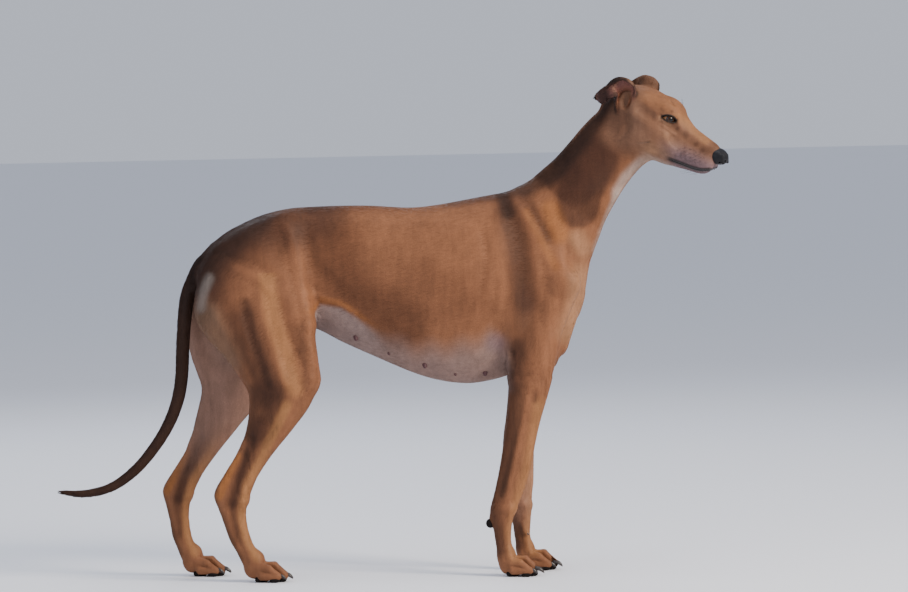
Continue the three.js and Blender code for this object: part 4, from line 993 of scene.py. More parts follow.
def lines_painted(colour, x, z, marks, where):
    """Each line's colour, full up to its core and gone at its edge, times where."""
    for tone, line, core, edge, strength in marks:
        near, gap = near_line(x, z, line, edge)
        paint(colour, tone, strength * (1 - ramp(gap, core, edge)) * where[near], near)


def ear_side(q, index, side):
    """Above 0 on the inner side of the ear's cup."""
    leaf = ear_net(side)
    inner = unit(np.cross(np.gradient(leaf, axis=1), np.gradient(leaf, axis=0)).reshape(-1, 3) * -side)
    return ((q - ears[side][index]) * inner[index]).sum(axis=1)


def paint_face(part, q):
    """The markings of the head, at points in its frame."""
    h, v = q[:, 0], q[:, 2]
    w = np.abs(q[:, 1])
    skull_share = ramp(h, 4, 40) * (1 - ramp(-v - 0.1 * h, 42, 80))
    paint(part, HEAD_TAN, 0.6 * skull_share)
    paint(part, UMBER, 0.15 * skull_share)
    paint(part, ORANGE, 0.3 * ramp(v, 10, 40) * ramp(h, 40, 80) * (1 - ramp(h, 140, 200)))  # forehead
    paint(part, ASH, 0.85 * ramp(h, 112, 165) * ramp(-v, 4, 34))  # lips
    paint(part, PALE, 0.3 * ramp(h, 84, 112) * (1 - ramp(h, 140, 165)) * ramp(-v, 20, 44))  # below the cheek
    paint(part, THROAT_GREY, 0.5 * ramp(h, 90, 130) * ramp(-v - 0.05 * h, 45, 58))  # under the jaw
    paint(part, BROWN, 0.5 * ramp(h, 196, 216) * ramp(v, -30, 0))
    paint(part, UMBER, 0.22 * (1 - ramp(np.hypot(h - 88, v - 14), 8, 34)))  # temple
    lines_painted(part, h, v, MUZZLE_MARKS, np.ones(len(h)))
    paint(part, UMBER, 0.3 * (1 - ramp(np.hypot(h - 44, (v + 22) / 2), 4, 26)))  # behind the cheek
    for spot_h, spot_v, size, strength in MUZZLE_SPOTS:
        paint(part, BROWN, strength * (w > 10) * (1 - ramp(np.hypot(h - spot_h, v - spot_v), 1.5, size)))
    along, up, look = at_eye(q)
    rim = np.where(look > -3, almond(along, up), 40.0)
    above = ramp(up, -1, 3)
    paint(part, BROWN, 0.75 * (1 - ramp(rim, 2, 8)) * np.maximum(ramp(along, -4, 9), 0.7 * above))
    dark = 0.6 + 0.4 * ramp(along, -8, 4)
    paint(part, BLACK_SKIN, 0.85 * dark * (1 - ramp(rim, 0.6, 2.2 + 2.6 * ramp(along, 2, 10) + 1.4 * above)))
    paint(part, PALE, 0.35 * (1 - ramp(np.abs(rim - 5.5), 0.5, 3)) * (1 - above) * (1 - ramp(along, 2, 10)))
    drop = np.abs(read(mouth_line, h)[:, 0] - v)
    paint(part, BLACK_SKIN, 0.85 * ramp(h, 140, 152) * (1 - ramp(drop, 2.2, 6)))
    for spot_h, spot_v in WARTS:
        paint(part, BLACK_SKIN, 0.4 * (w > 12) * (1 - ramp(np.hypot(h - spot_h, v - spot_v), 1, 4.5)))
    for first, row_v in WHISKER_ROWS:
        for k in range(6):
            gap = np.hypot(h - first - 9.5 * k, v - row_v - 0.8 * k)
            paint(part, BLACK_SKIN, 0.28 * (w > 12) * (1 - ramp(gap, 0.5, 2.4)))


def paint_ears(part, q):
    """Sooty outside with dark rims, pink inside, dark again on the part that is folded back, and a painted
    highlight along the folded edge.
    """
    for side in (-1, 1):
        d, index = nearest_on_ear(q, side)
        on_ear = 1 - ramp(d, 3.5, 8)
        inner = ramp(ear_side(q, index, side), -0.6, 0.6)
        row, step = ear_place(index)
        edge = np.maximum(1 - ramp(np.minimum(row, 1 - row), 0.02, 0.12), ramp(step, 0.9, 1))
        flap = ramp(step, 0.5, 0.66)  # the part that is folded back shows dark on both sides
        paint(part, SOOT, 0.5 * on_ear * (1 - inner) * (1 - flap) * ramp(step, 0.1, 0.3))
        paint(part, SOOT, 0.95 * on_ear * (1 - inner) * np.maximum(flap, 0.8 * edge))
        paint(part, EAR_PINK, 0.85 * on_ear * inner)
        paint(part, HEAD_TAN, 0.6 * on_ear * (1 - ramp(np.abs(step - 0.47), 0.02, 0.07)))  # painted highlight along the folded edge
        paint(part, ORANGE, 0.6 * on_ear * inner * (1 - ramp(step, 0.1, 0.36)))
        paint(part, SOOT, 0.9 * on_ear * inner * np.maximum(flap, 0.8 * edge))
        paint(part, ASH, 0.6 * on_ear * ramp(step, 0.93, 1))


def markings_light_and_shade(p, out):
    """Linear colours at points of the skin, whose outward directions are out: the coat's markings with its
    painted light and shade.
    """
    x, y, z = np.ascontiguousarray(p.T)
    colour = evenly(FAWN, p)
    beside = np.maximum(ramp(np.abs(y), 4, 20) * 0.6 + 0.4, ramp(z, 540, 600) * (1 - ramp(x, 330, 350)))
    lines_painted(colour, x, z, TRUNK_MARKS, beside)
    edge = np.interp(x, *np.array(BELLY_LINE).T) + 5 * np.sin(x / 9) * ramp(x, -40, 20)
    blur = 4 + 24 * ramp(x, -70, 20)
    inside = ramp(z - np.interp(x, [-180, -142, -35, 40], [460, 455, 402, 340]), -9, -5) * ramp(x, -150, -141)
    inside *= 1 - (1 - ramp(x, -125, -100)) * ramp(np.abs(y), 50, 60)
    belly = ramp((edge - z) / blur, -1, 1.2) * inside * (1 - ramp(x, 205, 225)) * (z > 330)
    paint(colour, LILAC, belly * (0.9 - 0.2 * ramp(x, -70, 20)))
    paint(colour, ASH, 0.5 * (1 - ramp(np.hypot(x - 188, z - 425), 6, 28)))
    fold = ramp(x, -165, -135) * (1 - ramp(x, -60, 0))
    paint(colour, ORANGE, 0.35 * (1 - ramp(np.abs(z - edge - 9), 2, 9)) * fold)
    inward = ramp(-out[:, 1] * np.sign(y), 0.05, 0.6) * (1 - ramp(z, 430, 520)) * ramp(z, 60, 140)
    shown = 1 - 0.75 * inward * (x < 0) * ramp(z, 215, 300)
    for (near, q), marks in zip(near_legs(p), (HIND_MARKS, FORE_MARKS)):
        part = colour[near]
        lines_painted(part, q[:, 0], q[:, 2], marks, shown[near])
        colour[near] = part
    paint(colour, INNER, 0.75 * inward * np.where(x < 0, ramp(z, 160, 300), 0.5))
    near = np.flatnonzero((x < -315) & (np.abs(y) < 30))
    gap = off_line(x[near], z[near], TAIL_POINTS[1:])
    paint(colour, SOOT, 0.9 * (1 - ramp(gap, 14, 24)) * (1 - ramp(np.abs(y[near]), 16, 24)), near)
    # The relief painted into the colour: ridges lighter as painted light, grooves darker as painted shade.
    colour *= (1 + 0.045 * np.clip(muscles(p), -5, 3))[:, None]

    near = np.flatnonzero((x > 380) & (z > 690))
    q, part = in_head(p[near]), colour[near]
    paint_face(part, q)
    paint_ears(part, q)
    colour[near] = part
    return np.clip(colour, DARKEST, PALEST)


def dress(obj, colours):
    """Stores a colour for each of the mesh's points."""
    layer = obj.data.color_attributes.new("hair_colour", "FLOAT_COLOR", "POINT")
    opaque = np.column_stack([colours, np.ones(len(colours))])
    layer.data.foreach_set("color", opaque.astype(np.float32).ravel())


def add_node(tree, kind, inputs=None, links=None, **settings):
    """One shader node with its settings, its sockets' values and the sockets that feed it."""
    node = tree.nodes.new(kind)
    for name, value in settings.items():
        setattr(node, name, value)
    for name, value in (inputs or {}).items():
        node.inputs[name].default_value = value
    for name, source in (links or {}).items():
        tree.links.new(source, node.inputs[name])
    return node


def new_material(name):
    """An empty node material and its tree."""
    material = bpy.data.materials.new(name)
    material.use_nodes = True
    material.node_tree.nodes.clear()
    return material, material.node_tree


def surfaced(tree, inputs, links=None):
    """Ends a material's tree in a principled surface with these inputs."""
    shader = add_node(tree, "ShaderNodeBsdfPrincipled", inputs, links)
    add_node(tree, "ShaderNodeOutputMaterial", links={"Surface": shader.outputs[0]})


def ranged(tree, source, low, high, least, most):
    """A value between low and high, taken to between least and most."""
    limits = {"From Min": low, "From Max": high, "To Min": least, "To Max": most}
    return add_node(tree, "ShaderNodeMapRange", limits, {"Value": source}).outputs[0]


# Short smooth hair: a soft, low gloss, a mottle a few centimetres wide and a grain of single locks.
MOTTLE = 35.0  # millimetres
LOCK = 1.6
STREAK = (9.0, 70.0)  # ripples of the skin: across and up
coat_material, tree = new_material("short_smooth_hair")
place = add_node(tree, "ShaderNodeTexCoord").outputs["Object"]
tint = add_node(tree, "ShaderNodeAttribute", attribute_name="hair_colour").outputs["Color"]
stretch = {"Scale": (1000 / STREAK[0], 1000 / STREAK[0], 1000 / STREAK[1])}
stretched = add_node(tree, "ShaderNodeMapping", stretch, {"Vector": place}).outputs[0]
noises = []
for scale, detail, source in ((1000 / MOTTLE, 3.0, place), (1000 / LOCK, 2.0, place), (1.0, 3.0, stretched)):
    noise = add_node(tree, "ShaderNodeTexNoise", {"Scale": scale, "Detail": detail}, {"Vector": source})
    noises.append(noise.outputs[0])
mottle, grain, streaks = noises
both = add_node(tree, "ShaderNodeMath", links={0: mottle, 1: streaks}, operation="ADD").outputs[0]
lighter = ranged(tree, both, 0.7, 1.3, 0.84, 1.15)
finer = ranged(tree, grain, 0.3, 0.7, 0.88, 1.12)
product = add_node(tree, "ShaderNodeMath", links={0: lighter, 1: finer}, operation="MULTIPLY")
tinted = add_node(tree, "ShaderNodeHueSaturation", links={"Color": tint, "Value": product.outputs[0]})
bump = add_node(tree, "ShaderNodeBump", {"Strength": 0.35, "Distance": 0.0004}, {"Height": grain})
surfaced(
    tree,
    {"Roughness": 0.58, "IOR": 1.5, "Specular IOR Level": 0.16},
    {"Base Color": tinted.outputs[0], "Normal": bump.outputs[0]},
)
skin.data.materials.append(coat_material)
dress(skin, markings_light_and_shade(skin_points, skin_normals))

# The eyes
# Each is a ball that fills its socket, with a dark amber iris and a wide pupil under a clear cornea
# that bulges, wet all over.
EYEBALL = EYE_RADIUS - 0.2
CORNEA_RISE = 1.3
EYE_STEPS = (48, 64)  # from the middle of the pupil to the back, and round
SIDES = {"right": -1, "left": 1}


def poled(rings, around):
    """Quads between rings of points that close on themselves, and fans to the first and last point."""
    index = np.zeros((rings + 2, around), int)
    index[1:-1] = 1 + np.arange(rings * around).reshape(rings, around)
    index[-1] = rings * around + 1
    after = np.roll(index, -1, axis=1)
    return np.stack([index[:-1], after[:-1], after[1:], index[1:]], axis=-1).reshape(-1, 4)


def piece(name, points, faces, material, colours):
    """A mesh with its material, its points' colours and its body."""
    obj = into_mesh(name, points, faces)
    obj.data.materials.append(material)
    dress(obj, colours)
    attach(obj, "root")
    return obj


def wet_material(name, roughness, coat, ior, bump_size=0.0, bump_depth=0.0, specular=0.4):
    """Bare or wet skin, horn or eye: the points' own colours under a gloss, with a pebble if it has one."""
    material, tree = new_material(name)
    tint = add_node(tree, "ShaderNodeAttribute", attribute_name="hair_colour").outputs["Color"]
    links = {"Base Color": tint}
    if bump_size:
        place = add_node(tree, "ShaderNodeTexCoord").outputs["Object"]
        cells = add_node(tree, "ShaderNodeTexVoronoi", {"Scale": 1000 / bump_size}, {"Vector": place})
        size = {"Strength": 0.6, "Distance": bump_depth / 1000}
        height = {"Height": cells.outputs["Distance"]}
        links["Normal"] = add_node(tree, "ShaderNodeBump", size, height, invert=True).outputs[0]
    gloss = {"Specular IOR Level": specular, "Coat Weight": coat, "Coat Roughness": 0.04}
    surfaced(tree, {"Roughness": roughness, "IOR": ior, **gloss}, links)
    return material


# A clear wet cornea: one sharp highlight, and a dark iris that stays dull under it.
cornea_material = wet_material("wet_eye", 0.8, 0.6, 1.38, specular=0.0)
turns = np.linspace(0, 2 * np.pi, EYE_STEPS[1], endpoint=False)
tilts = np.linspace(0, np.pi, EYE_STEPS[0] + 2)
radius = EYEBALL + CORNEA_RISE * (1 - ramp(tilts, 0.05, 0.8))
rings = np.stack(
    [
        np.sin(tilts[1:-1])[:, None] * np.cos(turns),
        np.sin(tilts[1:-1])[:, None] * np.sin(turns),
        np.repeat(np.cos(tilts[1:-1])[:, None], len(turns), axis=1),
    ],
    axis=-1,
) * radius[1:-1, None, None]
ball = np.vstack([[0, 0, radius[0]], rings.reshape(-1, 3), [0, 0, -radius[-1]]])
ball_tilt = np.arctan2(np.hypot(ball[:, 0], ball[:, 1]), ball[:, 2])
fibres = 0.5 + 0.5 * np.sin(np.arctan2(ball[:, 1], ball[:, 0]) * 23 + 5 * np.sin(ball_tilt * 9))
eye_colours = evenly("#6B4424", ball)  # the white is brown where it shows
paint(eye_colours, "#0C0705", 1 - ramp(ball_tilt, 0.74, 0.84))  # dark ring round the iris
paint(eye_colours, "#1E0F07", 1 - ramp(ball_tilt, 0.64, 0.74))
paint(eye_colours, "#41240F", (1 - ramp(ball_tilt, 0.36, 0.62)) * (0.35 + 0.4 * fibres))  # iris
paint(eye_colours, "#020202", 1 - ramp(ball_tilt, 0.3, 0.34))  # pupil
GAZE = turn(1, 14)  # the eye looks more to the front than its opening does
for side_name, side in SIDES.items():
    points = from_eye(ball @ GAZE.T, side)
    faces = poled(*EYE_STEPS)[:, :: -side]
    eye = piece("eyeball_" + side_name, points, faces, cornea_material, eye_colours)
    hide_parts("eye_" + side_name)

# The lids
# A black rolled margin lies on the ball along the almond of the opening and runs out into the skin.
LID_ROWS = [  # distance out from the margin, and height: over the ball's middle, or over the skin
    (-0.7, EYE_RADIUS - 0.8, None),
    (-0.1, EYE_RADIUS + 0.1, None),
    (0.2, EYE_RADIUS + 0.7, None),
    (0.7, None, 0.85),
    (1.4, None, 1.1),
    (2.2, None, 0.95),
    (3.2, None, 0.55),
    (4.6, None, 0.25),
    (6.2, None, -0.5),
]
LID_STEPS = 88
# Bare black skin: a faint sheen along the margin.
lid_material = wet_material("bare_lid", 0.6, 0.0, 1.4, specular=0.25)


def closed_flesh(p):
    """The body with its eyes shut."""
    return flesh(p, False)


def onto_skin(p, lift, rounds=4):
    """Points brought along the gradient to a height over the skin."""
    for _ in range(rounds):
        here, gradient = slope_of(closed_flesh, p)
        size = np.maximum((gradient**2).sum(axis=1)[:, None], 0.1)
        p = p - np.clip((here + COAT_DEPTH - lift)[:, None] * gradient / size, -2.5, 2.5)
    return p


half, over, under = OPENING
phase = np.linspace(0, 2 * np.pi, LID_STEPS, endpoint=False)
along = half * np.cos(phase)
up = np.abs(np.sin(phase)) ** 1.6 * np.where(np.sin(phase) > 0, over, -under)
look = np.sqrt(np.maximum(EYE_RADIUS**2 - along**2 - up**2, 2.2**2))
margin = np.column_stack([along, up, look])
tangent = np.roll(margin, -1, axis=0) - np.roll(margin, 1, axis=0)
away = unit(np.cross(tangent, unit(margin)))
for side_name, side in SIDES.items():
    rows, tones = [], []
    for out, height, lift in LID_ROWS:
        row = margin + away * out
        if height:
            row *= (height / np.linalg.norm(row, axis=1))[:, None]
        row = from_eye(row, side)
        if lift is not None:
            row = onto_skin(row, lift)
        rows.append(row)
        tone = markings_light_and_shade(row, np.tile([0.0, side, 0.0], (len(row), 1)))
        paint(tone, BLACK_SKIN, np.clip(1.6 - out / (1.4 + 1.4 * (up > 0)), 0, 1))
        tones.append(tone)
    index = np.arange(len(rows) * LID_STEPS).reshape(len(rows), -1)
    after, outer = np.roll(index, -1, axis=1), np.roll(index, -1, axis=0)
    faces = np.stack([index, outer, np.roll(outer, -1, axis=1), after], axis=-1).reshape(-1, 4)[:, ::side]
    piece("lids_" + side_name, np.vstack(rows), faces, lid_material, np.vstack(tones))

# The nose
# Bare black leather, pebbled and moist, with comma-shaped nostrils and a groove between its halves.
NOSE_FORMS = [
    mass([226.5, 0, -10], [18.3, 12.6, 15], 1),
    mass([226.5, 9, -11.5], [14.8, 8.2, 12], 5),
    strap([235.5, 13, -4.5], [242, 12, -15.5], [3, 2.4], [2.6, 2.2], 3),  # wing
    strap([231.5, 5, -11], [250.5, 8.5, -13.5], [1.6, 1.6], [3.9, 3.7], 1.4, True),  # nostril
    strap([234.5, 9, -15], [236.5, 22, -19.5], [1.2, 1.2], [1.9, 1.9], 1.2, True),
    strap([247.5, 0, 0.5], [242.5, 0, -27.5], [1.1, 0.8], [1.5, 0.9], 1.6, True),  # groove
]


def nose_leather(p):
    """Both halves of the nose from the forms of one, in the head's frame."""
    return build_up(np.full(len(p), FAR), folded(p), NOSE_FORMS)


def everywhere_fine(p):
    """The smallest boxes everywhere."""
    return np.ones(len(p))


NOSE_CELL = 0.8
nose_points, nose_faces = wrapped(
    nose_leather, NOSE_CELL, [202, -26, -32], [254, 26, 12], everywhere_fine, 0
)[:2]
# Moist leather: its pebbles break a soft highlight up.
nose_material = wet_material("nose_leather", 0.5, 0.12, 1.4, 1.1, 0.25, 0.3)
nose_colours = evenly("#0B0A0E", nose_points)
paint(nose_colours, "#1B1A20", 0.5 * ramp(nose_points[:, 2], -8, 5))
nose = piece("nose_leather", from_head(nose_points), nose_faces, nose_material, nose_colours)
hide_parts("nose")

# The lips
# A dark, smooth roll above and one below the line of the mouth, from corner to corner round the front.
LIP_ROLLS = [("upper", 1.7, 2.1), ("lower", -1.9, 1.7)]  # height over the line, and radius
LIP_STEPS, LIP_SIDES = 72, 10
# Smooth moist skin, glossier than the nose.
lip_material = wet_material("lip_skin", 0.42, 0.2, 1.45, 0.9, 0.12)


def out_to_skin(start, way, reach=60.0):
    """Where rays from points inside the body leave the skin, by halving."""
    near, far = np.zeros(len(start)), np.full(len(start), reach)
    for _ in range(16):
        t = (near + far) / 2
        inside = closed_flesh(start + way * t[:, None]) < -COAT_DEPTH
        near, far = np.where(inside, t, near), np.where(inside, far, t)
    return start + way * near[:, None]


def tube(path, radius, sides, flat=1.0, lift=(0, 0, 1.0)):
    """Points of a tube along a path that ends in two points; flat is its height's share of its width."""
    along = unit(np.gradient(path, axis=0))
    beside = unit(np.cross(along, lift))
    over = np.cross(beside, along)
    turns = np.linspace(0, 2 * np.pi, sides, endpoint=False)[None, :, None]
    ring = beside[:, None] * np.cos(turns) + over[:, None] * np.sin(turns) * flat
    points = path[:, None] + ring * np.asarray(radius)[:, None, None]
    return np.vstack([path[0], points.reshape(-1, 3), path[-1]]), poled(len(path), sides)


def joined(parts):
    """Several pieces' points and faces as one."""
    starts = np.cumsum([0] + [len(points) for points, _ in parts[:-1]])
    return np.vstack([part[0] for part in parts]), np.vstack([f + n for (_, f), n in zip(parts, starts)])


fan = np.linspace(-1, 1, LIP_STEPS)
HINGE, LIP_CORNER = 206.0, 151  # in front of the hinge's station the rays fan out to the front
FRONT_SHARE, SIDE_SHARE = 0.42, 0.58  # of each half of the roll
for name, rise, size in LIP_ROLLS:
    turn_share = np.clip((np.abs(fan) - FRONT_SHARE) / SIDE_SHARE, 0, 1)  # 0 at the hinge, 1 at the corner
    station = HINGE - (HINGE - LIP_CORNER) * turn_share
    angle = np.clip(fan / FRONT_SHARE, -1, 1) * np.pi / 2
    reached = station + np.where(turn_share > 0, 0, 22 * np.cos(angle))
    height = read(mouth_line, reached)[:, 0] + rise
    start = np.column_stack([station, np.zeros(LIP_STEPS), height])
    way = np.column_stack([np.cos(angle), np.sin(angle), np.zeros(LIP_STEPS)])
    path = in_head(out_to_skin(from_head(start), way @ HEAD_TURN.T))
    path -= way * size * 0.45
    taper = size * np.clip((1 - np.abs(fan)) / 0.1, 0.25, 1) ** 0.5
    points, faces = tube(path, taper, LIP_SIDES, 0.95)
    piece("lip_" + name, from_head(points), faces, lip_material, evenly("#1F1918", points))

# The pads
# Thick black-brown leather under each toe and under the middle of the paw, and one behind each wrist.
# They are set into the paws' undersides and stand flat on the floor.


def sole(x, y):
    """The middle pad with its three lobes, and one pad under each toe."""
    forms = [mass([x + 9, y, 5.5], [12, 8.5, 7], 1)]
    forms += [mass([x + 4, y + 7 * k, 5.5], [8.5, 6.8, 6.8], 4) for k in (-1, 1)]
    for offset, _, _, tip in TOES:
        forms.append(mass([x + tip - 9, y + offset * TOE_SPREAD, 4.6], [9.5, 5.2, 5.4], 0.5, tip=4))
    return forms


WRIST_PAD = [mass([172, 55, 97], [8.2, 6.6, 8.6], 4)]
hind_sole = leg(None, [], sole(*HIND_PAW), HIND_SHIFT, HIND_MIDDLE)
fore_sole = leg(None, WRIST_PAD, sole(*FORE_PAW), FORE_SHIFT, FORE_MIDDLE)


def pads(p):
    """All pads, cut off flat at the floor."""
    d = np.full(len(p), FAR)
    for near, form in ((p[:, 0] < -100, hind_sole), (p[:, 0] > 100, fore_sole)):
        near = np.flatnonzero(near & (p[:, 2] < 125))
        d[near] = form(p[near])
    return np.maximum(d, -p[:, 2])


PAD_CELL = 1.5
pad_points, pad_faces = wrapped(
    pads, PAD_CELL, [-410, -100, -6], [310, 100, 122], everywhere_fine, 0, top=4
)[:2]
pad_points[:, 2] = np.maximum(pad_points[:, 2], 0)
# Dry cracked leather: a coarse grain with hardly any gloss.
pad_material = wet_material("pad_leather", 0.75, 0.0, 1.35, 1.3, 0.35, 0.25)
piece("pads", pad_points, pad_faces, pad_material, evenly("#120D0C", pad_points))

# The claws
# Blunt dark horn, deeper than wide, that grows out of each toe's tip and curves down to the ground.
CLAW_LENGTH, CLAW_DROP, CLAW_RADIUS = 12.5, 8.0, 3.3
CLAW_STEPS, CLAW_SIDES = 10, 10
CLAW_NARROW = 0.72  # its width's share of its depth
CLAW_HEIGHT = 13.5  # of its root over the floor
FIFTH_CLAW = (-2, 39.5, 69, 0.5)  # from the paw's middle along x, then outwards, height and size
# Polished horn: a narrow highlight along each claw.
claw_material = wet_material("claw_horn", 0.35, 0.15, 1.54)


def claw(x, y, z, scale=1.0):
    """A horn whose middle falls with the square of its length and whose radius closes like an arch."""
    t = np.linspace(-0.45, 1, CLAW_STEPS)
    fall = CLAW_DROP * scale * t * np.abs(t)
    path = np.column_stack([x + CLAW_LENGTH * scale * t, np.full(len(t), y), z - fall])
    radius = CLAW_RADIUS * scale * np.sqrt(np.clip(1 - np.maximum(t, 0) ** 2.2, 0.03, 1))
    points, faces = tube(path, radius, CLAW_SIDES)
    points[:, 1] = y + (points[:, 1] - y) * CLAW_NARROW
    return points, faces


claws = []
for (x, y), step in ((HIND_PAW, HIND_STEP), (FORE_PAW, FORE_STEP)):
    for side in (-1, 1):
        moved = step if side > 0 else 0
        for offset, _, _, tip in TOES:
            claws.append(claw(x + moved + tip - 1, (y + offset * TOE_SPREAD) * side, CLAW_HEIGHT))
        if step == FORE_STEP:
            ahead, outward, height, scale = FIFTH_CLAW
            claws.append(claw(x + moved + ahead, outward * side, height, scale))
claw_points, claw_faces = joined(claws)
horn = evenly("#2B2321", claw_points)
paint(horn, "#6A5A4C", 0.5 * ramp(-claw_points[:, 2] % 100, 92, 99) * (claw_points[:, 2] < 20))
piece("claws", claw_points, claw_faces, claw_material, horn)

# The teats
# Two rows of five soft cones low on the belly's sides, two of them small, pointing down and out.
# Station, height and size.
TEATS = [(168, 369, 1.0), (114, 368, 0.55), (59, 386, 1.0), (-6, 408, 0.55), (-65, 438, 1.0)]
TEAT_LENGTH, TEAT_RADIUS = 7.0, 3.8
TRUNK_REACH = 120.0  # further than the trunk is wide
teats = []
for x, z, size in TEATS:
    for side in (-1, 1):
        root = out_to_skin(np.array([[x, 0.0, z]]), np.array([[0, side, 0.0]]), TRUNK_REACH)[0]
        way = np.array([0.05, 0.6 * side, -0.8])
        t = np.linspace(-0.3, 1, 9)
        cone = np.where(t < 0.45, 1.25 - 0.8 * np.clip(t, 0, 0.45), 0.89)
        tip = np.clip(1 - np.clip((t - 0.45) / 0.55, 0, 1) ** 2, 0.02, 1)
        radius = TEAT_RADIUS * cone * np.sqrt(tip)
        teats.append(tube(root + way * size * TEAT_LENGTH * t[:, None], size * radius, 12, lift=(1.0, 0, 0)))
teat_points, teat_faces = joined(teats)
# Thin bare skin, matt and finely wrinkled.
teat_material = wet_material("bare_skin", 0.6, 0.0, 1.4, 0.8, 0.1)
piece("teats", teat_points, teat_faces, teat_material, evenly("#4A3032", teat_points))

# Whiskers and lashes
# Single stiff dark hairs on lips, chin, cheek and brows, and a row along each upper lid.
WHISKER_ROOTS = [  # station, height, how many, length and how much they stand apart
    (170, -17, 4, 18, 10.5), (163, -24, 5, 24, 10), (168, -31, 5, 26, 9.5), (160, -37, 4, 22, 11),
    (182, -58, 3, 14, 9), (108, -32, 2, 20, 2), (117, 35, 3, 14, 2.5),
]
WHISKER_RADIUS = 0.17
LASH_LENGTH, LASH_RADIUS = 5.5, 0.22
random = np.random.default_rng(11)
hairs = []
for side in (-1, 1):
    for station, height, count, length, pitch in WHISKER_ROOTS:
        h = station + pitch * np.arange(count) + random.uniform(-1.5, 1.5, count)
        v = height + 0.08 * (h - station) + random.uniform(-1, 1, count)
        start = np.column_stack([h, np.zeros(count), v])
        way = np.tile([0, side, 0.0], (count, 1))
        if height > 0:
            start[:, 1], way = 14 * side, np.tile([0, 0.25 * side, 0.97], (count, 1))
            start[:, 2] = 20
        root = in_head(out_to_skin(from_head(start), way @ HEAD_TURN.T))
        for k in range(count):
            t = np.linspace(0, 1, 6)[:, None]
            far = length * random.uniform(0.8, 1.2)
            toward = np.array([-0.3, 0.8 * side, -0.35 if height < 0 else 0.6]) + random.normal(0, 0.12, 3)
            sag = np.array([-0.45, 0.1 * side, -0.25 if height < 0 else 0.1])
            path = root[k] + far * (toward * t + sag * t * t) - toward * 0.6
            hairs.append(tube(from_head(path), WHISKER_RADIUS * (1.02 - t[:, 0] ** 1.5 * 0.85), 4))
    upper = np.flatnonzero(np.sin(phase) > 0.25)[::2]
    for k in upper:
        root = margin[k] * (EYE_RADIUS + 1.1) / np.linalg.norm(margin[k]) + away[k] * 0.7
        t = np.linspace(0, 1, 5)[:, None]
        path = root + LASH_LENGTH * (t * [0.25 * along[k] / half - 0.1, -0.05, 0.8] + t * t * [-0.15, 0.3, 0])
        hairs.append(tube(from_eye(path, side), LASH_RADIUS * (1.02 - t[:, 0] * 0.8), 4))
hair_points, hair_faces = joined(hairs)
# Bristle: stiff dark hair that glints a little.
whisker_material = wet_material("stiff_hair", 0.4, 0.0, 1.55)
piece("whiskers", hair_points, hair_faces, whisker_material, evenly("#120D0B", hair_points))

# The coat
# Short smooth hair in thin flat locks that lie along the body from nose to tail, down the legs and out
# along the ears and tail. It is longest behind the thighs and under the tail, shortest on the face.
COAT_COUNTS = {
    "head": 18500, "neck": 12000, "chest": 19500, "loin": 19500,
    "fore_legs": 13000, "hind_legs": 19500, "tail": 9000,
}
LOCK_THICKNESS = 0.24
LOCK_SUNK, ROOT_DEPTH = 0.08, 0.5  # how far its middle's edges and its root lie in the skin
LOCK_SPREAD = np.radians(9)  # how far single locks stray from the lie
PATCH = 0.003  # a lock's width and height on the unwrap
# A lock's points are three at its root and three at its middle, each left, right and over, and its tip.
LOCK_FACES = np.array(
    [
        [2, 1, 0], [5, 2, 0], [3, 5, 0], [5, 4, 1], [2, 5, 1],
        [4, 3, 0], [1, 4, 0], [6, 5, 3], [6, 4, 5], [6, 3, 4],
    ]
)
TAIL_STRIDE = 4  # points of its line to a step, where its direction is read


def nearest_on_tail(p):
    """Which of every few points of the tail's line is nearest in side view, and how far it is."""
    gap = ((p[:, None, [0, 2]] - tail_line[None, ::TAIL_STRIDE]) ** 2).sum(axis=2)
    return gap.argmin(axis=1), np.sqrt(gap.min(axis=1))


def body_parts(p):
    """Which part of the body each point is on, by its name's place in COAT_COUNTS."""
    x, y, z = np.ascontiguousarray(p.T)
    part = np.where(x > 20, 2, 3)
    part[(x > 150) & (z < 388)] = 4
    part[(x < -100) & (z < 450)] = 5
    part[((p - NECK_ORIGIN) @ NECK_AXIS > 46) & (x > 240)] = 1
    part[(in_head(p)[:, 0] > 16) & (z > 700)] = 0
    part[(x < -318) & (off_line(x, z, TAIL_POINTS[1:]) < 24) & (np.abs(y) < 24)] = 6
    return part


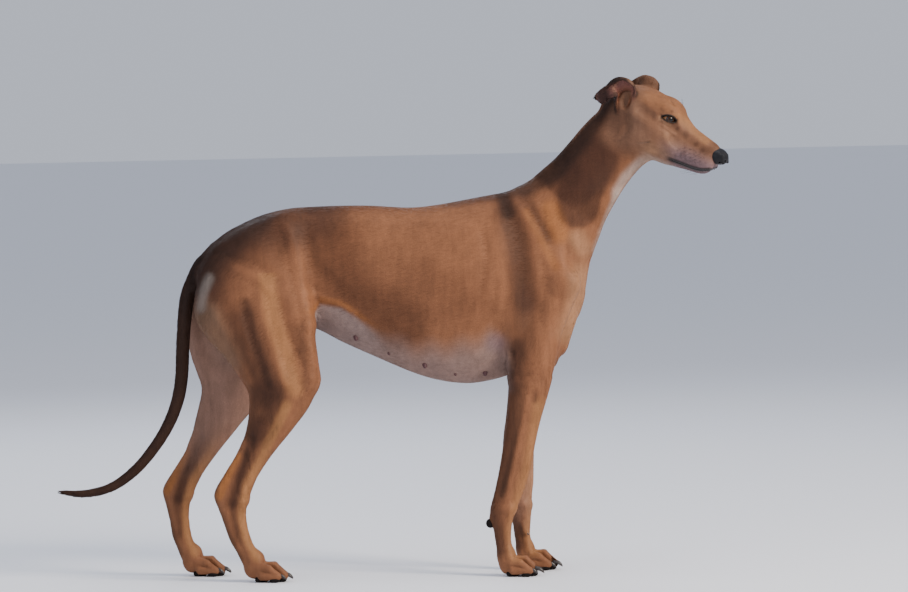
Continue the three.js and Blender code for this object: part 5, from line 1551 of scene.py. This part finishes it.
def lie_of(p, out):
    """The way the hair points, in the surface: a blend of each part's own direction."""
    x, y, z = np.ascontiguousarray(p.T)
    q = in_head(p)
    lie = np.tile([-1.0, 0, -0.22], (len(p), 1))
    lie += (ramp(-x, 120, 330) * ramp(-z, -640, -560))[:, None] * [0.35, 0, -0.6]  # down over the thighs
    fall = -0.25 * ramp(np.abs(q[:, 1]), 15, 40)
    back_and_out = np.column_stack([-np.ones(len(p)), 0.12 * np.sign(q[:, 1]), fall]) @ HEAD_TURN.T
    for share, way in (
        (ramp((p - NECK_ORIGIN) @ NECK_AXIS, -30, 50) * ramp(x, 230, 290), [-0.64, 0, -0.77]),  # neck
        (ramp(-z, -520, -400) * ramp(x, 150, 230), [-0.25, 0, -1.0]),  # upper arm
        (ramp(-z, -400, -330) * ((x > 120) | (x < -100)), [-0.12, 0, -1.0]),  # legs
        (ramp(-z, -50, -20), [0.75, 0, -0.6]),  # feet
        (ramp(q[:, 0], -10, 40) * (z > 700), back_and_out),  # head
    ):
        lie += share[:, None] * (way - lie)
    near = np.flatnonzero((q[:, 0] > -30) & (q[:, 0] < 75) & (z > 820))
    for side in (-1, 1):
        toward = unit(np.gradient(ear_net(side), axis=1).reshape(-1, 3))
        d, index = nearest_on_ear(q[near], side)
        on_ear = (1 - ramp(d, 3, 7))[:, None]
        lie[near] += on_ear * (toward[index] @ HEAD_TURN.T - lie[near])
    near = np.flatnonzero((x < -300) & (np.abs(y) < 26))
    close, gap = nearest_on_tail(p[near])
    toward = unit(np.gradient(tail_line[::TAIL_STRIDE], axis=0)[close])
    on_tail = (1 - ramp(gap, 16, 26))[:, None]
    lie[near] += on_tail * (np.column_stack([toward[:, 0], np.zeros(len(near)), toward[:, 1]]) - lie[near])
    lie -= (lie * out).sum(axis=1)[:, None] * out
    size = np.linalg.norm(lie, axis=1)[:, None]
    down = np.array([-0.1, 0, -1.0]) - out * (out @ [-0.1, 0, -1.0])[:, None]
    lie = np.where(size > 0.15, lie, down)
    return unit(lie)


def hair_sizes(p, out, part):
    """Length and height of the tip over the skin, in millimetres, for locks rooted at points."""
    x, z = p[:, 0], p[:, 2]
    q = in_head(p)
    length = np.array([5.5, 8, 9.5, 9.5, 7.5, 8.5, 11])[part]
    lift = np.array([0.15, 0.25, 0.22, 0.22, 0.2, 0.25, 0.5])[part]
    length = length - 2.5 * (part == 0) * ramp(q[:, 0], 70, 190)
    length = length - 1.8 * (part == 0) * (q[:, 0] < 62) * (q[:, 2] > 0)  # on the ears
    behind = np.isin(part, (3, 5)) * ramp(-out[:, 0], 0.2, 0.9) * ramp(-x, 230, 300) * ramp(z, 330, 400)
    length = length + 5 * behind
    lift = lift + 0.7 * behind
    under = (part == 6) * ramp(-out[:, 2] - out[:, 0] * 0.7, 0, 0.8)
    thin_end = 1 - ramp(-x, 590, 615)
    length = (length + 6 * under) * (0.4 + 0.6 * thin_end)
    lift = (lift + 0.9 * under) * (0.3 + 0.7 * thin_end)
    foot = ramp(-z, -70, -20)
    return length * (1 - 0.5 * foot), lift * (1 - 0.4 * foot)


def wanted_hair(p):
    """How close together locks stand, as a share of the closest."""
    z = p[:, 2]
    q = in_head(p)
    share = ramp(z, 3, 9)
    face = ramp(q[:, 0], 60, 150) * (z > 700)
    share *= 0.55 + 0.45 * face + 0.45 * (z < 700)
    along, up, look = at_eye(q)
    share *= np.where((look > -2) & (z > 700), ramp(almond(along, up), 3.2, 5), 1)
    drop = np.abs(read(mouth_line, q[:, 0])[:, 0] - q[:, 2])
    share *= np.where((q[:, 0] > 147) & (z > 700), ramp(drop, 3.2, 4.5), 1)
    share *= 1 - ((q[:, 0] > 219) & (q[:, 2] > -26) & (z > 700))
    return share


def unwrapped(p, part):
    """Each root's place on an unwrap of its part: round the part's middle, and along it."""
    x, y, z = np.ascontiguousarray(p.T)
    q = in_head(p)
    place = np.zeros((len(p), 2))

    def chart(mine, across, over, along, first, last, left=0.0, width=1.0, height=1.0):
        turn_share = np.arctan2(across[mine], over[mine]) / (2 * np.pi) + 0.5
        place[mine, 0] = left + width * (0.01 + 0.98 * turn_share)
        place[mine, 1] = height * (0.01 + 0.98 * np.clip((along[mine] - first) / (last - first), 0, 1))

    chart(part == 0, q[:, 1], q[:, 2] + 8, q[:, 0], 10, 236, height=0.7)
    d = p - NECK_ORIGIN
    chart(part == 1, y, d @ NECK_UP, d @ NECK_AXIS, 40, 250)
    chart(part == 2, y, z - 530, x, 16, 345)
    chart(part == 3, y, z - 560, x, -352, 24)
    for left, side in ((0.0, -1), (0.5, 1)):
        for number, table, moved, top in ((4, FORE_MIDDLE, 18, 392), (5, HIND_MIDDLE, -80, 455)):
            mine = (part == number) & (np.sign(y) == side)
            middle = read(table, z)
            ahead = x - middle[:, 0] - moved * (side > 0)
            chart(mine, np.abs(y) - middle[:, 1], ahead, z, 0, top, left, 0.5)
    near = np.flatnonzero(part == 6)
    close = nearest_on_tail(p[near])[0] * TAIL_STRIDE
    rise, run = np.zeros((2, len(p)))
    rise[near] = z[near] - tail_line[close, 1]
    run[near] = tail_share[close]
    chart(part == 6, y, rise, run, 0, 1)
    near = np.flatnonzero((part == 0) & (q[:, 0] < 75))
    for side in (-1, 1):
        d, index = nearest_on_ear(q[near], side)
        mine = d < 4.5
        ear_points = near[mine]
        row, step = ear_place(index[mine])
        inner = ear_side(q[ear_points], index[mine], side) > 0
        place[ear_points, 0] = 0.25 * (2 * (side > 0) + inner) + 0.24 * row + 0.005
        place[ear_points, 1] = 0.72 + 0.27 * step
    return place


def locks(name, roots, out, part):
    """Closed flat blades of ten faces: a sunken root, a middle that hugs the skin, and a single tip."""
    count = len(roots)
    lie = lie_of(roots, out)
    beside = np.cross(out, lie)
    stray = random.normal(0, LOCK_SPREAD, count)[:, None]
    lie, beside = lie * np.cos(stray) + beside * np.sin(stray), beside * np.cos(stray) - lie * np.sin(stray)
    length, lift = hair_sizes(roots, out, part)
    length = (length * random.uniform(0.7, 1.25, count))[:, None]
    lift = (lift * random.uniform(0.4, 1.5, count))[:, None]
    width = 0.35 + 0.1 * length
    thick = LOCK_THICKNESS * (0.5 + length / 22)

    def hugged(share):
        at = roots + lie * length * share
        return at - out * np.clip(flesh(at) + COAT_DEPTH, -length[:, 0] * 0.45, length[:, 0] * 0.45)[:, None]

    middle, tip = hugged(0.5), hugged(1.0)
    base = roots - out * ROOT_DEPTH
    points = np.stack(
        [
            base - beside * width * 0.35,
            base + beside * width * 0.35,
            roots + out * thick * 0.5,
            middle - beside * width * 0.5 + out * (lift * 0.25 - LOCK_SUNK),
            middle + beside * width * 0.5 + out * (lift * 0.25 - LOCK_SUNK),
            middle + out * (lift * 0.3 + thick),
            tip + out * (lift + 0.1),
        ],
        axis=1,
    )
    bent = 0.25 * beside
    left, right = out - bent, out + bent
    normals = unit(np.stack([left, right, out, left, right, out + 0.1 * lie, out + 0.2 * lie], axis=1))
    faces = (np.arange(count)[:, None, None] * 7 + LOCK_FACES).reshape(-1, 3)
    root_tone, tip_tone = markings_light_and_shade(roots, out), markings_light_and_shade(tip, out)
    along = np.array([0, 0, 0, 0.5, 0.5, 0.5, 1])[None, :, None]
    shade = np.array([0.92, 0.92, 0.96, 1, 1, 1.01, 1.05])[None, :, None]
    colours = (root_tone[:, None] * (1 - along) + tip_tone[:, None] * along) * shade
    colours *= random.uniform(0.92, 1.08, count)[:, None, None]
    coat = piece("coat_" + name, points.reshape(-1, 3), faces, coat_material, colours.reshape(-1, 3))
    coat.data.normals_split_custom_set_from_vertices(normals.reshape(-1, 3))
    spread = np.array([[-1, -1], [1, -1], [0, -1], [-1, 0], [1, 0], [0, 0], [0, 1]]) * PATCH / 2
    unwrap = unwrapped(roots, part)
    unwrap = (unwrap[:, None] * (1 - PATCH) + PATCH / 2 + spread).reshape(-1, 2)
    layer = coat.data.uv_layers.new(name="OFBake")
    layer.data.foreach_set("uv", unwrap[faces.ravel()].astype(np.float32).ravel())


JUST_UNDER_ONE = 0.999999  # so that rounding never picks past the last triangle
triangles = np.vstack([skin_faces[:, [0, 1, 2]], skin_faces[:, [0, 2, 3]]])
corner = skin_points[triangles]
facing = np.cross(corner[:, 1] - corner[:, 0], corner[:, 2] - corner[:, 0])
area = np.linalg.norm(facing, axis=1) / 2
large = area > 0.01
triangles, corner, area = triangles[large], corner[large], area[large]
middles = corner.mean(axis=1)
face_part = body_parts(middles)
weight = area * wanted_hair(middles)
for number, (name, count) in enumerate(COAT_COUNTS.items()):
    mine = np.flatnonzero(face_part == number)
    share = weight[mine] / weight[mine].sum()
    picks = (np.arange(count) + random.uniform(0, 1, count)) / count * JUST_UNDER_ONE
    chosen = mine[np.searchsorted(np.cumsum(share), picks)]
    mix = random.dirichlet([1, 1, 1], count)
    roots = (corner[chosen] * mix[:, :, None]).sum(axis=1)
    out = unit((skin_normals[triangles[chosen]] * mix[:, :, None]).sum(axis=1))
    locks(name, roots, out, np.full(count, number))

# The floor, the light and the camera
# A plain pale floor out to the horizon, a large soft key low from the front right, and a camera at the
# animal's right side, a little above the floor.
FLOOR_REACH = 60000.0
floor_points = FLOOR_REACH * np.array([[-1, -1, 0], [1, -1, 0], [1, 1, 0], [-1, 1, 0.0]])
floor = into_mesh("floor", floor_points, np.array([[0, 1, 2, 3]]))
# Matt paper: pale and without a highlight, so that only the animal's shadow shows on it.
floor_material, tree = new_material("matt_paper")
surfaced(tree, {"Base Color": (*hex_colour("#E6E8EE"), 1), "Roughness": 0.95, "Specular IOR Level": 0.1})
floor.data.materials.append(floor_material)


def aimed(obj, place, target, roll=0.0):
    """Puts a lamp or camera at a place, looking at a target, turned about its view by roll radians."""
    back = np.array(place, float) - target
    back /= np.linalg.norm(back)
    right = np.cross([0, 0, 1.0], back)
    right /= np.linalg.norm(right)
    up = np.cross(back, right)
    right, up = right * np.cos(roll) - up * np.sin(roll), up * np.cos(roll) + right * np.sin(roll)
    matrix = np.eye(4)
    matrix[:3, 0], matrix[:3, 1], matrix[:3, 2], matrix[:3, 3] = right, up, back, place
    obj.matrix_world = Matrix(matrix.tolist())
    bpy.context.collection.objects.link(obj)


LAMPS = [
    ("key", (4.0, -3.0, 3.0), 1.8, 390, "#FFF3E4"),
    ("fill", (-3.4, -4.2, 2.2), 3.0, 55, "#EAF1FF"),
    ("back", (-1.0, 3.6, 3.2), 2.5, 60, "#F2F6FF"),
    ("top", (0.2, -0.6, 4.2), 3.0, 60, "#FFFFFF"),
]
for name, place, size, power, tint in LAMPS:
    lamp = bpy.data.lights.new(name, "AREA")
    lamp.size = size
    lamp.energy = power
    lamp.color = hex_colour(tint)
    aimed(bpy.data.objects.new(name, lamp), place, (0.0, 0.0, 0.45))
world = bpy.data.worlds.new("studio")
bpy.context.scene.world = world
world.use_nodes = True
sky = world.node_tree.nodes["Background"].inputs
sky["Color"].default_value = (*hex_colour("#D6DCEA"), 1)
sky["Strength"].default_value = 0.85

VIEW_DISTANCE = 9.0
HORIZON_LEAN = 0.02094  # rise over run
SENSOR = 36.0
VIEW_HEIGHT = np.radians(2.5)
VIEW_TARGET = np.array([0.1145, 0, 0.5083])
FRAME_WIDTH = 1.6529  # metres that the picture spans at the target
camera_data = bpy.data.cameras.new("camera")
camera_data.sensor_width = SENSOR
camera_data.lens = SENSOR * VIEW_DISTANCE / FRAME_WIDTH
camera_data.clip_end = 60
camera = bpy.data.objects.new("camera", camera_data)
view_place = VIEW_TARGET + VIEW_DISTANCE * np.array([0, -np.cos(VIEW_HEIGHT), np.sin(VIEW_HEIGHT)])
aimed(camera, view_place, VIEW_TARGET, np.arctan(HORIZON_LEAN))
bpy.context.scene.camera = camera
